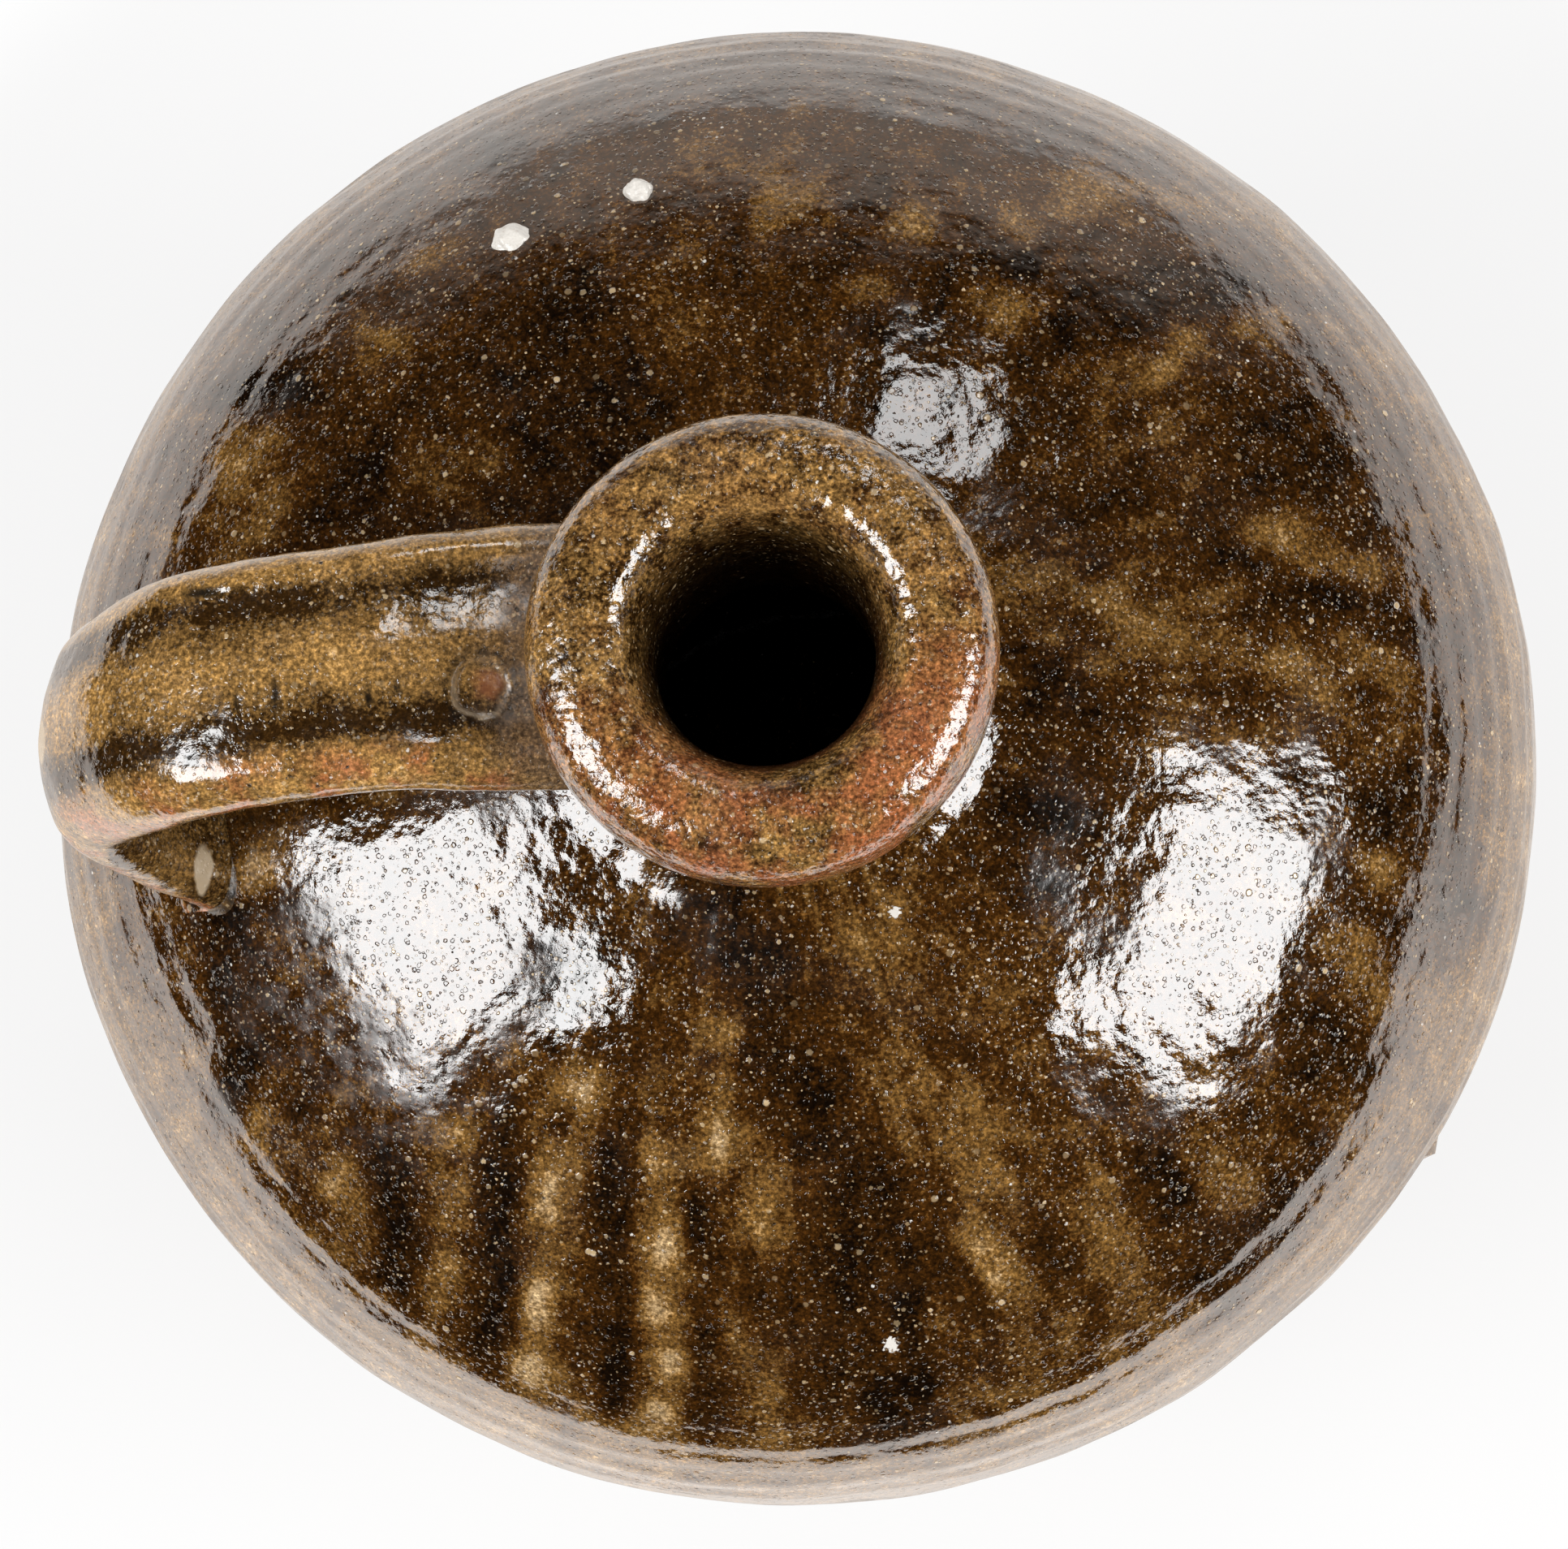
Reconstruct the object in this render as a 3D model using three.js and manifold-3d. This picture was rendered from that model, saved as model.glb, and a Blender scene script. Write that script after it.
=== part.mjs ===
// Stoneware jug: a wheel-thrown body with a rolled lip, a reeded strap handle luted on at the neck
// and the shoulder, glaze outside, inside and on the handle, and two grains of quartz that fell
// from the kiln's arch and fused to the shoulder.
// Millimetres, +Z up. The origin is the centre of the foot, and the handle lies towards -X.
import * as THREE from "three";
import { mergeVertices } from "three/addons/utils/BufferGeometryUtils.js";
import Module from "manifold-3d";

const wasm = await Module();
wasm.setup();

// Thrown body, all sizes on the bare clay.
const FOOT_RADIUS = 62;
const FOOT_BEVEL = 2.5;
const FOOT_LEAN = 14; // how far the wall leans out in its first rise
const FOOT_RISE = 48; // the height over which it does
const BELLY_RADIUS = 99.5;
const BELLY_HEIGHT = 156; // height of the widest turn above the table
const BELLY_RISE = 56; // length of wall that stands nearly upright below the widest turn
const SHOULDER_RISE = 66; // half height of the ellipse that the shoulder follows
const WALL = 7;
const FLOOR = 9;
const FLOOR_ROUND = 12; // radius between the floor and the wall inside

// Neck and rolled lip.
const NECK_RADIUS = 21.5;
const NECK_LENGTH = 30; // from the top of the shoulder's ellipse to the middle of the lip
const NECK_SWEEP = 10; // size of the hollow curve from the shoulder into the neck
const LIP_RADIUS = 28.3;
const LIP_ROLL = 8.2; // radius of the roll's round section
const THROAT_RADIUS = 14;
const THROAT_DEPTH = 12; // from the middle of the lip down to the narrow of the throat

// Strap handle, with grooves pressed along its outer face by the potter's fingers.
const HANDLE_THICKNESS = 10;
const HANDLE_TUCK = 3.5; // clear height between the lip's underside and the strap
const HANDLE_ARCH = 7; // how far the strap climbs before it turns down
const BEND_INSET = 7; // how far the bend's outer face stays inside the belly's widest turn
const LANDING_INSET = 24.5; // the same for the middle of the lower end
const HANDLE_LEAN = 7; // sideways drift from the neck to the lower end
const ROOT_WIDTH = 32;
const ARCH_WIDTH = 29.5;
const BEND_WIDTH = 27;
const LANDING_WIDTH = 35;
// Each groove's place across the strap and its size are those at the top of the arch.
const GROOVES = [
  { across: -9, depth: 2.1, width: 2.4 },
  { across: 5.5, depth: 1.7, width: 4.2 },
];

// Luting slip, glaze and kiln grains. A grain's inset is its distance in from the belly's widest turn.
const LUTE = 1.2; // thickness of the slip between the handle and the wall
const LUTE_SPREAD = 1.5; // how far the slip squeezes out round the handle
const GLAZE = 0.5;
const GLAZE_LINE = 24; // mean height where the outer glaze stops, above the bare foot
const GLAZE_RUN = 7; // how far its runs reach above and below that height
const FUSED_GAP = 0.2; // modelling clearance between two pieces that the firing fused
const GRAINS = [
  { name: "quartz_grain_large", radius: 2.5, height: 1.5, inset: 28.5, turn: 119.4 },
  { name: "quartz_grain_small", radius: 1.7, height: 1.9, inset: 28.8, turn: 105.2 },
];

// Fineness of the facets.
const TURNS = 36;
const HANDLE_STEPS = 20;

const lipHeight = BELLY_HEIGHT + SHOULDER_RISE + NECK_LENGTH;
const lipCrest = lipHeight + LIP_ROLL;
const lipMiddle = LIP_RADIUS - LIP_ROLL;
const landingOut = BELLY_RADIUS - LANDING_INSET;

const clay = new THREE.MeshStandardMaterial({ color: 0x8a7358, roughness: 0.85 });
const glaze = new THREE.MeshStandardMaterial({ color: 0x553410, roughness: 0.18 });
const handleGlaze = new THREE.MeshStandardMaterial({ color: 0x76511c, roughness: 0.25 });
const slip = new THREE.MeshStandardMaterial({ color: 0x6b5236, roughness: 0.7 });
const quartz = new THREE.MeshStandardMaterial({ color: 0xe9e4dc, roughness: 0.3 });

const at = (radius, height) => new THREE.Vector2(radius, height);

// Profile of the thrown body

// The wall from the foot to the widest turn, drawn in by an inset for the inside.
function wallCurve(inset, bottom) {
  return new THREE.CubicBezierCurve(
    at(FOOT_RADIUS - inset, bottom),
    at(FOOT_RADIUS + FOOT_LEAN - inset, bottom + FOOT_RISE),
    at(BELLY_RADIUS - inset, BELLY_HEIGHT - BELLY_RISE),
    at(BELLY_RADIUS - inset, BELLY_HEIGHT),
  );
}

// The point of a rising curve at a given height, by halving.
function pointAtHeight(curve, height) {
  let low = 0;
  let high = 1;
  for (let halving = 0; halving < 40; halving++) {
    const middle = (low + high) / 2;
    if (curve.getPoint(middle).y < height) low = middle;
    else high = middle;
  }
  return curve.getPoint(high);
}

// Height of the shoulder's ellipse at a radius, drawn in by an inset for the inside.
function shoulderHeight(radius, inset = 0) {
  const share = radius / (BELLY_RADIUS - inset);
  return BELLY_HEIGHT + (SHOULDER_RISE - inset) * Math.sqrt(1 - share * share);
}

// The shoulder from the widest turn up to the radius where the neck's hollow curve takes over.
function shoulderPoints(inset, endRadius, steps) {
  const last = Math.acos(endRadius / (BELLY_RADIUS - inset));
  return Array.from({ length: steps }, (_, step) => {
    const angle = (last * (step + 1)) / steps;
    const radius = (BELLY_RADIUS - inset) * Math.cos(angle);
    return at(radius, BELLY_HEIGHT + (SHOULDER_RISE - inset) * Math.sin(angle));
  });
}

// The hollow curve between the shoulder and an upright wall of the given radius.
function neckSweep(inset, radius, size, steps) {
  const start = at(radius + size, shoulderHeight(radius + size, inset));
  const nearer = at(radius + size / 2, shoulderHeight(radius + size / 2, inset));
  const corner = at(radius, start.y + 2 * (nearer.y - start.y));
  const end = at(radius, corner.y + size);
  return new THREE.QuadraticBezierCurve(start, corner, end).getPoints(steps).slice(1);
}

function outerProfile() {
  const wall = wallCurve(0, FOOT_BEVEL);
  const runBottom = GLAZE_LINE - GLAZE_RUN;
  const runTop = GLAZE_LINE + GLAZE_RUN;
  const wallSteps = 5;
  const heights = [FOOT_BEVEL, runBottom, runTop];
  for (let step = 1; step <= wallSteps; step++) {
    heights.push(runTop + ((BELLY_HEIGHT - runTop) * step) / wallSteps);
  }
  const underLip = Math.acos((NECK_RADIUS - lipMiddle) / LIP_ROLL);
  const lip = new THREE.EllipseCurve(lipMiddle, lipHeight, LIP_ROLL, LIP_ROLL, -underLip, Math.PI / 2);
  const funnel = new THREE.QuadraticBezierCurve(
    at(lipMiddle, lipCrest),
    at(THROAT_RADIUS, lipCrest),
    at(THROAT_RADIUS, lipHeight - THROAT_DEPTH),
  );
  return [
    at(FOOT_RADIUS - FOOT_BEVEL, 0),
    ...heights.map((height) => pointAtHeight(wall, height)),
    ...shoulderPoints(0, NECK_RADIUS + NECK_SWEEP, 6),
    ...neckSweep(0, NECK_RADIUS, NECK_SWEEP, 3),
    ...lip.getPoints(8),
    ...funnel.getPoints(4).slice(1),
  ];
}

function innerProfile() {
  const innerSweep = NECK_SWEEP / 2;
  const wall = wallCurve(WALL, FLOOR + FLOOR_ROUND);
  const wallFoot = wall.getPoint(0);
  const corner = new THREE.QuadraticBezierCurve(
    at(wallFoot.x - FLOOR_ROUND, FLOOR),
    at(wallFoot.x - FLOOR_ROUND * 0.3, FLOOR),
    wallFoot,
  );
  const rising = [
    ...corner.getPoints(3),
    ...wall.getPoints(5).slice(1),
    ...shoulderPoints(WALL, THROAT_RADIUS + innerSweep, 6),
    ...neckSweep(WALL, THROAT_RADIUS, innerSweep, 2),
  ];
  return rising.reverse();
}

// Moves an open outline to its right by a distance, at each point along the mean of its two normals.
function offsetOutline(points, distance) {
  const normals = points.slice(1).map((point, i) => {
    const along = point.clone().sub(points[i]).normalize();
    return at(along.y, -along.x);
  });
  return points.map((point, i) => {
    const before = normals[Math.max(i - 1, 0)];
    const after = normals[Math.min(i, normals.length - 1)];
    const mean = before.clone().add(after).normalize();
    return point.clone().addScaledVector(mean, distance / mean.dot(after));
  });
}

// Solids

function geometryOf(positions, triangles) {
  return new THREE.BufferGeometry()
    .setAttribute("position", new THREE.BufferAttribute(positions, 3))
    .setIndex(new THREE.BufferAttribute(triangles, 1));
}

function solidOf(geometry) {
  const bare = geometry.clone().deleteAttribute("normal").deleteAttribute("uv");
  const merged = mergeVertices(bare, 1e-4);
  return new wasm.Manifold(
    new wasm.Mesh({
      numProp: 3,
      vertProperties: merged.attributes.position.array,
      triVerts: new Uint32Array(merged.index.array),
    }),
  );
}

function geometryFrom(solid) {
  const mesh = solid.getMesh();
  return geometryOf(mesh.vertProperties, mesh.triVerts);
}

// A profile in (radius, height), taken round with the clay on its left, turned about +Z.
function revolve(profile) {
  return new THREE.LatheGeometry(profile, TURNS).rotateX(Math.PI / 2);
}

// The jug's outside up to the lip's crest, grown by a distance and filled to the axis, to cut
// what lies against it.
function filledBody(outside, growth) {
  const crest = outside.indexOf(outside.reduce((top, point) => (point.y > top.y ? point : top)));
  const grown = offsetOutline(outside, growth).slice(0, crest + 1);
  return solidOf(revolve([at(0, grown[0].y), ...grown, at(0, grown[crest].y)]));
}

// Strap handle

// Stations of the strap's centre line: the distance out from the jug's axis, the height, the share
// of the sideways lean and the width.
function handleStations() {
  const rootHeight = lipHeight - LIP_ROLL - HANDLE_TUCK - HANDLE_THICKNESS / 2;
  const archHeight = rootHeight + HANDLE_ARCH;
  const landHeight = shoulderHeight(landingOut);
  const bendOut = BELLY_RADIUS - BEND_INSET - HANDLE_THICKNESS / 2;
  const bendHeight = landHeight + (archHeight - landHeight) * 0.48;
  const span = bendOut - NECK_RADIUS;
  const landIn = bendOut - landingOut;
  return [
    { out: NECK_RADIUS * 0.25, up: rootHeight, lean: -0.2, width: ROOT_WIDTH },
    { out: NECK_RADIUS + span * 0.12, up: rootHeight + HANDLE_ARCH * 0.4, lean: -0.2, width: ROOT_WIDTH },
    { out: NECK_RADIUS + span * 0.46, up: archHeight, lean: 0.1, width: ARCH_WIDTH },
    { out: NECK_RADIUS + span * 0.8, up: archHeight - HANDLE_ARCH * 0.7, lean: 0.53, width: ARCH_WIDTH },
    { out: bendOut, up: bendHeight, lean: 0.86, width: BEND_WIDTH },
    { out: landingOut + landIn * 0.6, up: landHeight + WALL, lean: 0.97, width: LANDING_WIDTH * 0.9 },
    { out: landingOut, up: landHeight - WALL / 2, lean: 1, width: LANDING_WIDTH },
  ];
}

// Outline of the strap across its length, anticlockwise: a plain inner face and a grooved outer one.
function strapSection(width) {
  const half = width / 2;
  const rise = HANDLE_THICKNESS / 2;
  const edge = (share) => rise * Math.pow(1 - Math.pow(Math.abs(share), 5), 0.5);
  const groove = (across) =>
    GROOVES.reduce((sum, g) => sum + g.depth * Math.exp(-(((across - g.across) / g.width) ** 2)), 0);
  const innerSteps = 6;
  const outerSteps = 14;
  const outline = [];
  for (let step = 0; step < innerSteps; step++) {
    const share = -Math.cos((Math.PI * step) / innerSteps);
    outline.push(at(share * half, -edge(share)));
  }
  for (let step = 0; step < outerSteps; step++) {
    const share = Math.cos((Math.PI * step) / outerSteps);
    outline.push(at(share * half, edge(share) - groove((share * ARCH_WIDTH) / 2) * edge(share) / rise));
  }
  return outline;
}

// The strap's outline grown all round by a distance.
function grownSection(width, growth) {
  const section = strapSection(width);
  const closed = [section[section.length - 1], ...section, section[0]];
  return offsetOutline(closed, growth).slice(1, -1);
}

// Lofts the strap's section along its centre line, grown all round by a distance.
function handleSolid(growth) {
  const stations = handleStations();
  const line = new THREE.CatmullRomCurve3(
    stations.map(({ out, up, lean }) => new THREE.Vector3(-out, -HANDLE_LEAN * lean, up)),
  );
  const widths = new THREE.SplineCurve(stations.map(({ width }, i) => at(i, width)));
  const sideways = new THREE.Vector3(0, -1, 0);
  const rings = [];
  for (let step = 0; step <= HANDLE_STEPS; step++) {
    const share = step / HANDLE_STEPS;
    const along = line.getTangent(share);
    const outward = along.clone().cross(sideways).normalize();
    const across = outward.clone().cross(along);
    const centre = line.getPoint(share);
    rings.push(
      grownSection(widths.getPoint(share).y, growth).map((p) =>
        centre.clone().addScaledVector(across, p.x).addScaledVector(outward, p.y),
      ),
    );
  }
  const count = rings[0].length;
  const triangles = [];
  for (let ring = 0; ring < HANDLE_STEPS; ring++) {
    for (let i = 0; i < count; i++) {
      const a = ring * count + i;
      const b = ring * count + ((i + 1) % count);
      triangles.push(a, b, b + count, a, b + count, a + count);
    }
  }
  const flat = grownSection(ROOT_WIDTH, growth);
  const lastRing = HANDLE_STEPS * count;
  for (const [a, b, c] of THREE.ShapeUtils.triangulateShape(flat, [])) {
    triangles.push(c, b, a, lastRing + a, lastRing + b, lastRing + c);
  }
  const positions = new Float32Array(rings.flat().flatMap((p) => p.toArray()));
  return solidOf(geometryOf(positions, new Uint32Array(triangles)));
}

// Glaze

// The outer glaze between two matching outlines, its lower edge drawn into runs within one band.
function outerGlazeGeometry(under, over) {
  const ring = [...under.slice().reverse(), ...over];
  const geometry = revolve([...ring, ring[0]]);
  const position = geometry.attributes.position;
  const rows = ring.length + 1;
  const edges = [
    { row: under.length - 1, next: under.length - 2 },
    { row: under.length, next: under.length + 1 },
  ];
  const low = new THREE.Vector3();
  const high = new THREE.Vector3();
  for (let column = 0; column <= TURNS; column++) {
    const angle = (2 * Math.PI * (column % TURNS)) / TURNS;
    const run = 0.5 + 0.3 * Math.cos(5 * angle + 0.6) + 0.17 * Math.cos(11 * angle + 2.1);
    for (const { row, next } of edges) {
      low.fromBufferAttribute(position, column * rows + row);
      high.fromBufferAttribute(position, column * rows + next);
      low.lerp(high, run);
      position.setXYZ(column * rows + row, low.x, low.y, low.z);
    }
  }
  return geometry;
}

// Kiln grains

function grainSolid({ radius, height, inset, turn }, growth) {
  const out = BELLY_RADIUS - inset;
  const angle = THREE.MathUtils.degToRad(turn);
  const reach = 0.01;
  const slope = (shoulderHeight(out + reach) - shoulderHeight(out - reach)) / (2 * reach);
  const tip = new THREE.Vector3(-slope * Math.cos(angle), -slope * Math.sin(angle), 1).normalize();
  const seat = new THREE.Vector3(out * Math.cos(angle), out * Math.sin(angle), shoulderHeight(out));
  const grain = new THREE.SphereGeometry(1, 14, 8).rotateX(Math.PI / 2);
  grain.scale(radius + growth, (radius + growth) * 0.86, height + growth);
  grain.applyQuaternion(new THREE.Quaternion().setFromUnitVectors(new THREE.Vector3(0, 0, 1), tip));
  return solidOf(grain.translate(seat.x, seat.y, seat.z));
}

// Assembly

const jug = new THREE.Group();

function place(name, geometry, material) {
  const mesh = new THREE.Mesh(geometry, material);
  mesh.name = name;
  jug.add(mesh);
}

const outside = outerProfile();
const profile = [...outside, ...innerProfile(), at(0, FLOOR)];
place("thrown_body", revolve([at(0, 0), ...profile]), clay);

const seatedOnWall = filledBody(outside, FUSED_GAP);
const slipFace = filledBody(outside, LUTE);
const handleFace = filledBody(outside, LUTE + FUSED_GAP);
place("strap_handle", geometryFrom(handleSolid(0).subtract(handleFace)), clay);

const handleCoat = handleSolid(FUSED_GAP + GLAZE).subtract(handleSolid(FUSED_GAP));
place("handle_glaze", geometryFrom(handleCoat.subtract(handleFace)), handleGlaze);

const slipPads = handleSolid(LUTE_SPREAD)
  .intersect(slipFace)
  .subtract(seatedOnWall)
  .decompose()
  .sort((a, b) => b.boundingBox().max[2] - a.boundingBox().max[2]);
["upper_luting", "lower_luting"].forEach((name, i) => place(name, geometryFrom(slipPads[i]), slip));

const glazeFrom = 2; // the profile's point at the bottom of the glaze runs
const glazeTo = outside.length; // past its last point, in the throat
const under = offsetOutline(profile, FUSED_GAP);
const over = offsetOutline(profile, FUSED_GAP + GLAZE);
const outerCoat = solidOf(
  outerGlazeGeometry(under.slice(glazeFrom, glazeTo), over.slice(glazeFrom, glazeTo)),
);
const outerCuts = [
  handleSolid(LUTE_SPREAD + FUSED_GAP),
  ...GRAINS.map((grain) => grainSolid(grain, FUSED_GAP)),
];
place("outer_glaze", geometryFrom(outerCuts.reduce((coat, cut) => coat.subtract(cut), outerCoat)), glaze);

const linerFrom = glazeTo - 1; // the two coats meet in the throat
const liner = [...under.slice(linerFrom).reverse(), ...over.slice(linerFrom)];
place("liner_glaze", revolve(liner), glaze);

for (const grain of GRAINS) {
  place(grain.name, geometryFrom(grainSolid(grain, 0).subtract(seatedOnWall)), quartz);
}

export default jug;
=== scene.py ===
"""Stoneware jug: a thrown body under a streaked brown glaze, with a rolled lip and a grooved strap handle."""

import math

import bmesh
import bpy
import numpy as np
from bpy.props import FloatProperty, FloatVectorProperty, IntProperty, PointerProperty
from mathutils import Matrix, Vector, kdtree, noise
from mathutils.bvhtree import BVHTree


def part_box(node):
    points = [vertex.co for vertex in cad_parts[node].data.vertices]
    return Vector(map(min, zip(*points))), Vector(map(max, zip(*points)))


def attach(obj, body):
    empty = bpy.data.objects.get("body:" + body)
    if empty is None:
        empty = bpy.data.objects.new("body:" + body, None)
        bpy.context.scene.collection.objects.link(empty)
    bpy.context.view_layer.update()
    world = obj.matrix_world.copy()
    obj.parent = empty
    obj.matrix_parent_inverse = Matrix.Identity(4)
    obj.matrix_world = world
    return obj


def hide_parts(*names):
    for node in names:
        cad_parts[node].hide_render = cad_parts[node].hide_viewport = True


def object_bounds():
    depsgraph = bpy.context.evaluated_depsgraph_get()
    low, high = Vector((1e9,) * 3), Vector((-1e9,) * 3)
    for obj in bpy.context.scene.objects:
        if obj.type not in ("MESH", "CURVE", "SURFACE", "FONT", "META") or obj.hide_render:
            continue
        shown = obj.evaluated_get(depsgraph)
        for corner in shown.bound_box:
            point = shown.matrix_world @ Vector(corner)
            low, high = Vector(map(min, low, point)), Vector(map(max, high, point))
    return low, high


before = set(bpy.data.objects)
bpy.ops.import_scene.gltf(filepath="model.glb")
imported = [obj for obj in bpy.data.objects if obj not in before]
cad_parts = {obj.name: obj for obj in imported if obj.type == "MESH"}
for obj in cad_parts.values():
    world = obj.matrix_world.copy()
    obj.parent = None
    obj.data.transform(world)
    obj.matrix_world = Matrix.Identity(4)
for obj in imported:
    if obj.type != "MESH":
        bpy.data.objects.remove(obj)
CAD_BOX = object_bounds()
CLAY_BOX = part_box("thrown_body")

bl_info = {
    "name": "Stoneware Jug",
    "version": (1, 0, 0),
    "blender": (4, 5, 0),
    "location": "3D View > Sidebar > Jug",
    "description": "Models a glazed stoneware jug over its solids",
    "category": "Object",
}

MM = 0.001

# Points along the wall, and corners of the strap's section, the inner face's first.
WALL_STEPS = 76
CORNERS = 60

# The lip's section: 1 is round, less is fuller at its corners.
LIP_FULLNESS = 0.74

# Heights on the body in millimetres, each from and to: where its unevenness ends under the lip, where
# the lip swells, where the lip's own glaze starts and where the shoulder does.
BODY_ENDS = (228, 238)
LIP_SWELLS = (236, 246)
LIP_GLAZE = (229, 240)
SHOULDER_STARTS = (150, 160)

# Constants of the glaze's shader.
GLOSS = {"IOR": 2.1}

# Small stains and marks: pits and cracks with the painted shadow round the blister, dull slip under
# thin glaze, bare spots on the strap with the painted highlight on the blister's rim, the flashing,
# sand and iron of the clay, and the veins of the quartz.
PIT_COLOUR = (0.004, 0.0025, 0.0015)
CRACK_AND_SHADOW_COLOUR = (0.006, 0.005, 0.004)
DULL_COLOUR = (0.36, 0.215, 0.1)
BARE_AND_HIGHLIGHT_COLOUR = (0.52, 0.4, 0.26)
FLASH_COLOUR = (0.17, 0.088, 0.045)
SAND_COLOUR = (0.5, 0.37, 0.24)
IRON_COLOUR = (0.03, 0.014, 0.007)
VEIN_COLOUR = (0.42, 0.33, 0.25)

# Finger grooves of the strap: place across it, depth, width towards either edge, and where they end.
GROOVES = ((-0.6, 2.0 * MM, 0.14, 0.33, 0.4), (0.48, 1.4 * MM, 0.3, 0.22, 0.36))

# Runs and patches of the glaze on the shoulder, seen from above: bearing and distance out of both
# ends in degrees and millimetres, half width in millimetres, and how much lighter or darker.
RUNS = (
    (-118, 55, -111, 90, 3.5, 0.5),
    (-105, 60, -100, 90, 3.8, 0.5),
    (-99, 43, -96, 59, 3.0, 0.4),
    (-91, 63, -91, 69, 3.0, 0.35),
    (-91, 83, -90, 91, 3.0, 0.3),
    (-95, 79, -95, 86, 2.5, 0.3),
    (-68, 65, -68, 77, 4.0, 0.45),
    (-65, 32, -70, 59, 11.0, 0.2),
    (-127, 67, -120, 83, 4.0, 0.4),
    (-100, 27, -86, 50, 5.0, -0.45),
    (-80, 64, -81, 88, 8.0, -0.4),
    (-123, 63, -116, 88, 3.2, -0.5),
    (-109, 60, -104, 90, 2.8, -0.5),
    (-129, 43, -125, 48, 4.0, -0.5),
    (-99, 64, -96, 88, 2.4, -0.4),
    (137, 71, 137, 71, 4.0, 0.45),
    (127, 75, 127, 75, 4.0, 0.3),
    (146, 54, 140, 49, 3.5, 0.35),
    (153, 79, 160, 72, 5.0, 0.3),
    (107, 48, 107, 48, 3.0, 0.25),
    (126, 54, 126, 54, 9.0, -0.5),
    (153, 61, 153, 61, 6.0, -0.5),
    (120, 41, 129, 38, 6.0, -0.5),
    (146, 81, 146, 81, 6.0, -0.4),
    (119, 88, 115, 84, 3.0, -0.7),
    (97, 73, 92, 70, 4.0, 0.35),
    (90, 63, 86, 66, 3.5, 0.35),
    (79, 54, 77, 56, 2.5, 0.4),
    (74, 65, 76, 66, 2.2, 0.45),
    (65, 71, 63, 71, 2.5, 0.5),
    (62, 78, 58, 83, 3.5, 0.45),
    (61, 58, 58, 62, 4.0, 0.4),
    (53, 86, 50, 88, 3.0, 0.4),
    (66, 65, 62, 66, 2.6, -0.5),
    (44, 58, 40, 82, 3.5, 0.45),
    (19, 66, 13, 79, 3.5, 0.4),
    (17, 32, 4, 77, 6.0, 0.35),
    (55, 61, 45, 80, 4.0, -0.5),
    (27, 75, 27, 75, 8.0, -0.45),
    (14, 64, 9, 83, 3.0, -0.5),
    (10, 32, 0, 37, 3.0, -0.5),
    (-14, 79, -14, 79, 3.5, 0.4),
    (-23, 80, -23, 80, 4.0, 0.4),
    (-46, 79, -47, 87, 3.5, 0.45),
    (-59, 79, -58, 87, 3.5, 0.4),
    (-25, 85, -25, 85, 3.0, 0.35),
    (-9, 79, -9, 79, 4.0, -0.5),
    (-31, 80, -31, 80, 5.0, -0.45),
    (-14, 91, -14, 91, 4.0, -0.5),
    (-44, 90, -52, 91, 3.5, -0.5),
    (-63, 78, -63, 78, 3.0, -0.4),
    (-50, 78, -50, 78, 4.0, -0.4),
    (-30, 37, -30, 37, 7.0, -0.45),
    (-164, 70, -160, 73, 3.0, 0.4),
    (-151, 87, -151, 87, 3.0, 0.4),
    (-144, 83, -140, 87, 3.5, 0.4),
    (-134, 83, -134, 83, 3.5, 0.4),
    (-159, 76, -151, 79, 4.0, -0.6),
    (-146, 82, -146, 89, 3.0, -0.45),
    (-131, 76, -124, 87, 3.0, -0.45),
)

# Pale spots on the shoulder, in millimetres: their place seen from above and their radius.
PALE_SPOTS = ((15.3, -28.1, 0.8), (14.2, -80.8, 0.95))

# Dull patches of the glaze on the shoulder, in millimetres: their place seen from above and their radius.
DULL_PATCHES = ((-60.0, -38.0, 10.0), (-48.0, -52.0, 10.0))

# A crumb of kiln grit on the belly, in millimetres.
BELLY_CRUMB = (85.4, -51.9, 152.0)

# Marks on the strap, in millimetres: the popped blister, the crumb, and cracks and bare spots with
# their length to the side and width.
BLISTER = (-35.0, -3.2, 243.6)
CRUMB = (-94.0, 3.5, 226.0)
CRACKS = (
    (-59.8, -4.6, 246.3, 2.4, 0.55),
    (-48.4, -4.6, 246.1, 1.7, 0.5),
    (-44.9, -3.8, 245.9, 1.0, 0.45),
    (-64.5, -5.4, 246.0, 1.2, 0.4),
    (-70.4, -12.3, 244.4, 1.2, 1.6),
    (-69.0, 8.6, 244.3, 0.7, 3.0),
)
BARE_SPOTS = (
    (-92.0, -7.0, 224.0, 3.0, 2.0),
    (-74.2, -20.3, 203.4, 3.9, 1.6),
)


# Settings


def length_property(name, description, default):
    return FloatProperty(name=name, description=description, default=default, unit="LENGTH")


def number_property(name, description, default):
    return FloatProperty(name=name, description=description, default=default, min=0)


def colour_property(name, description, default):
    return FloatVectorProperty(
        name=name, description=description, default=default, subtype="COLOR", size=3, min=0, max=1
    )


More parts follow.
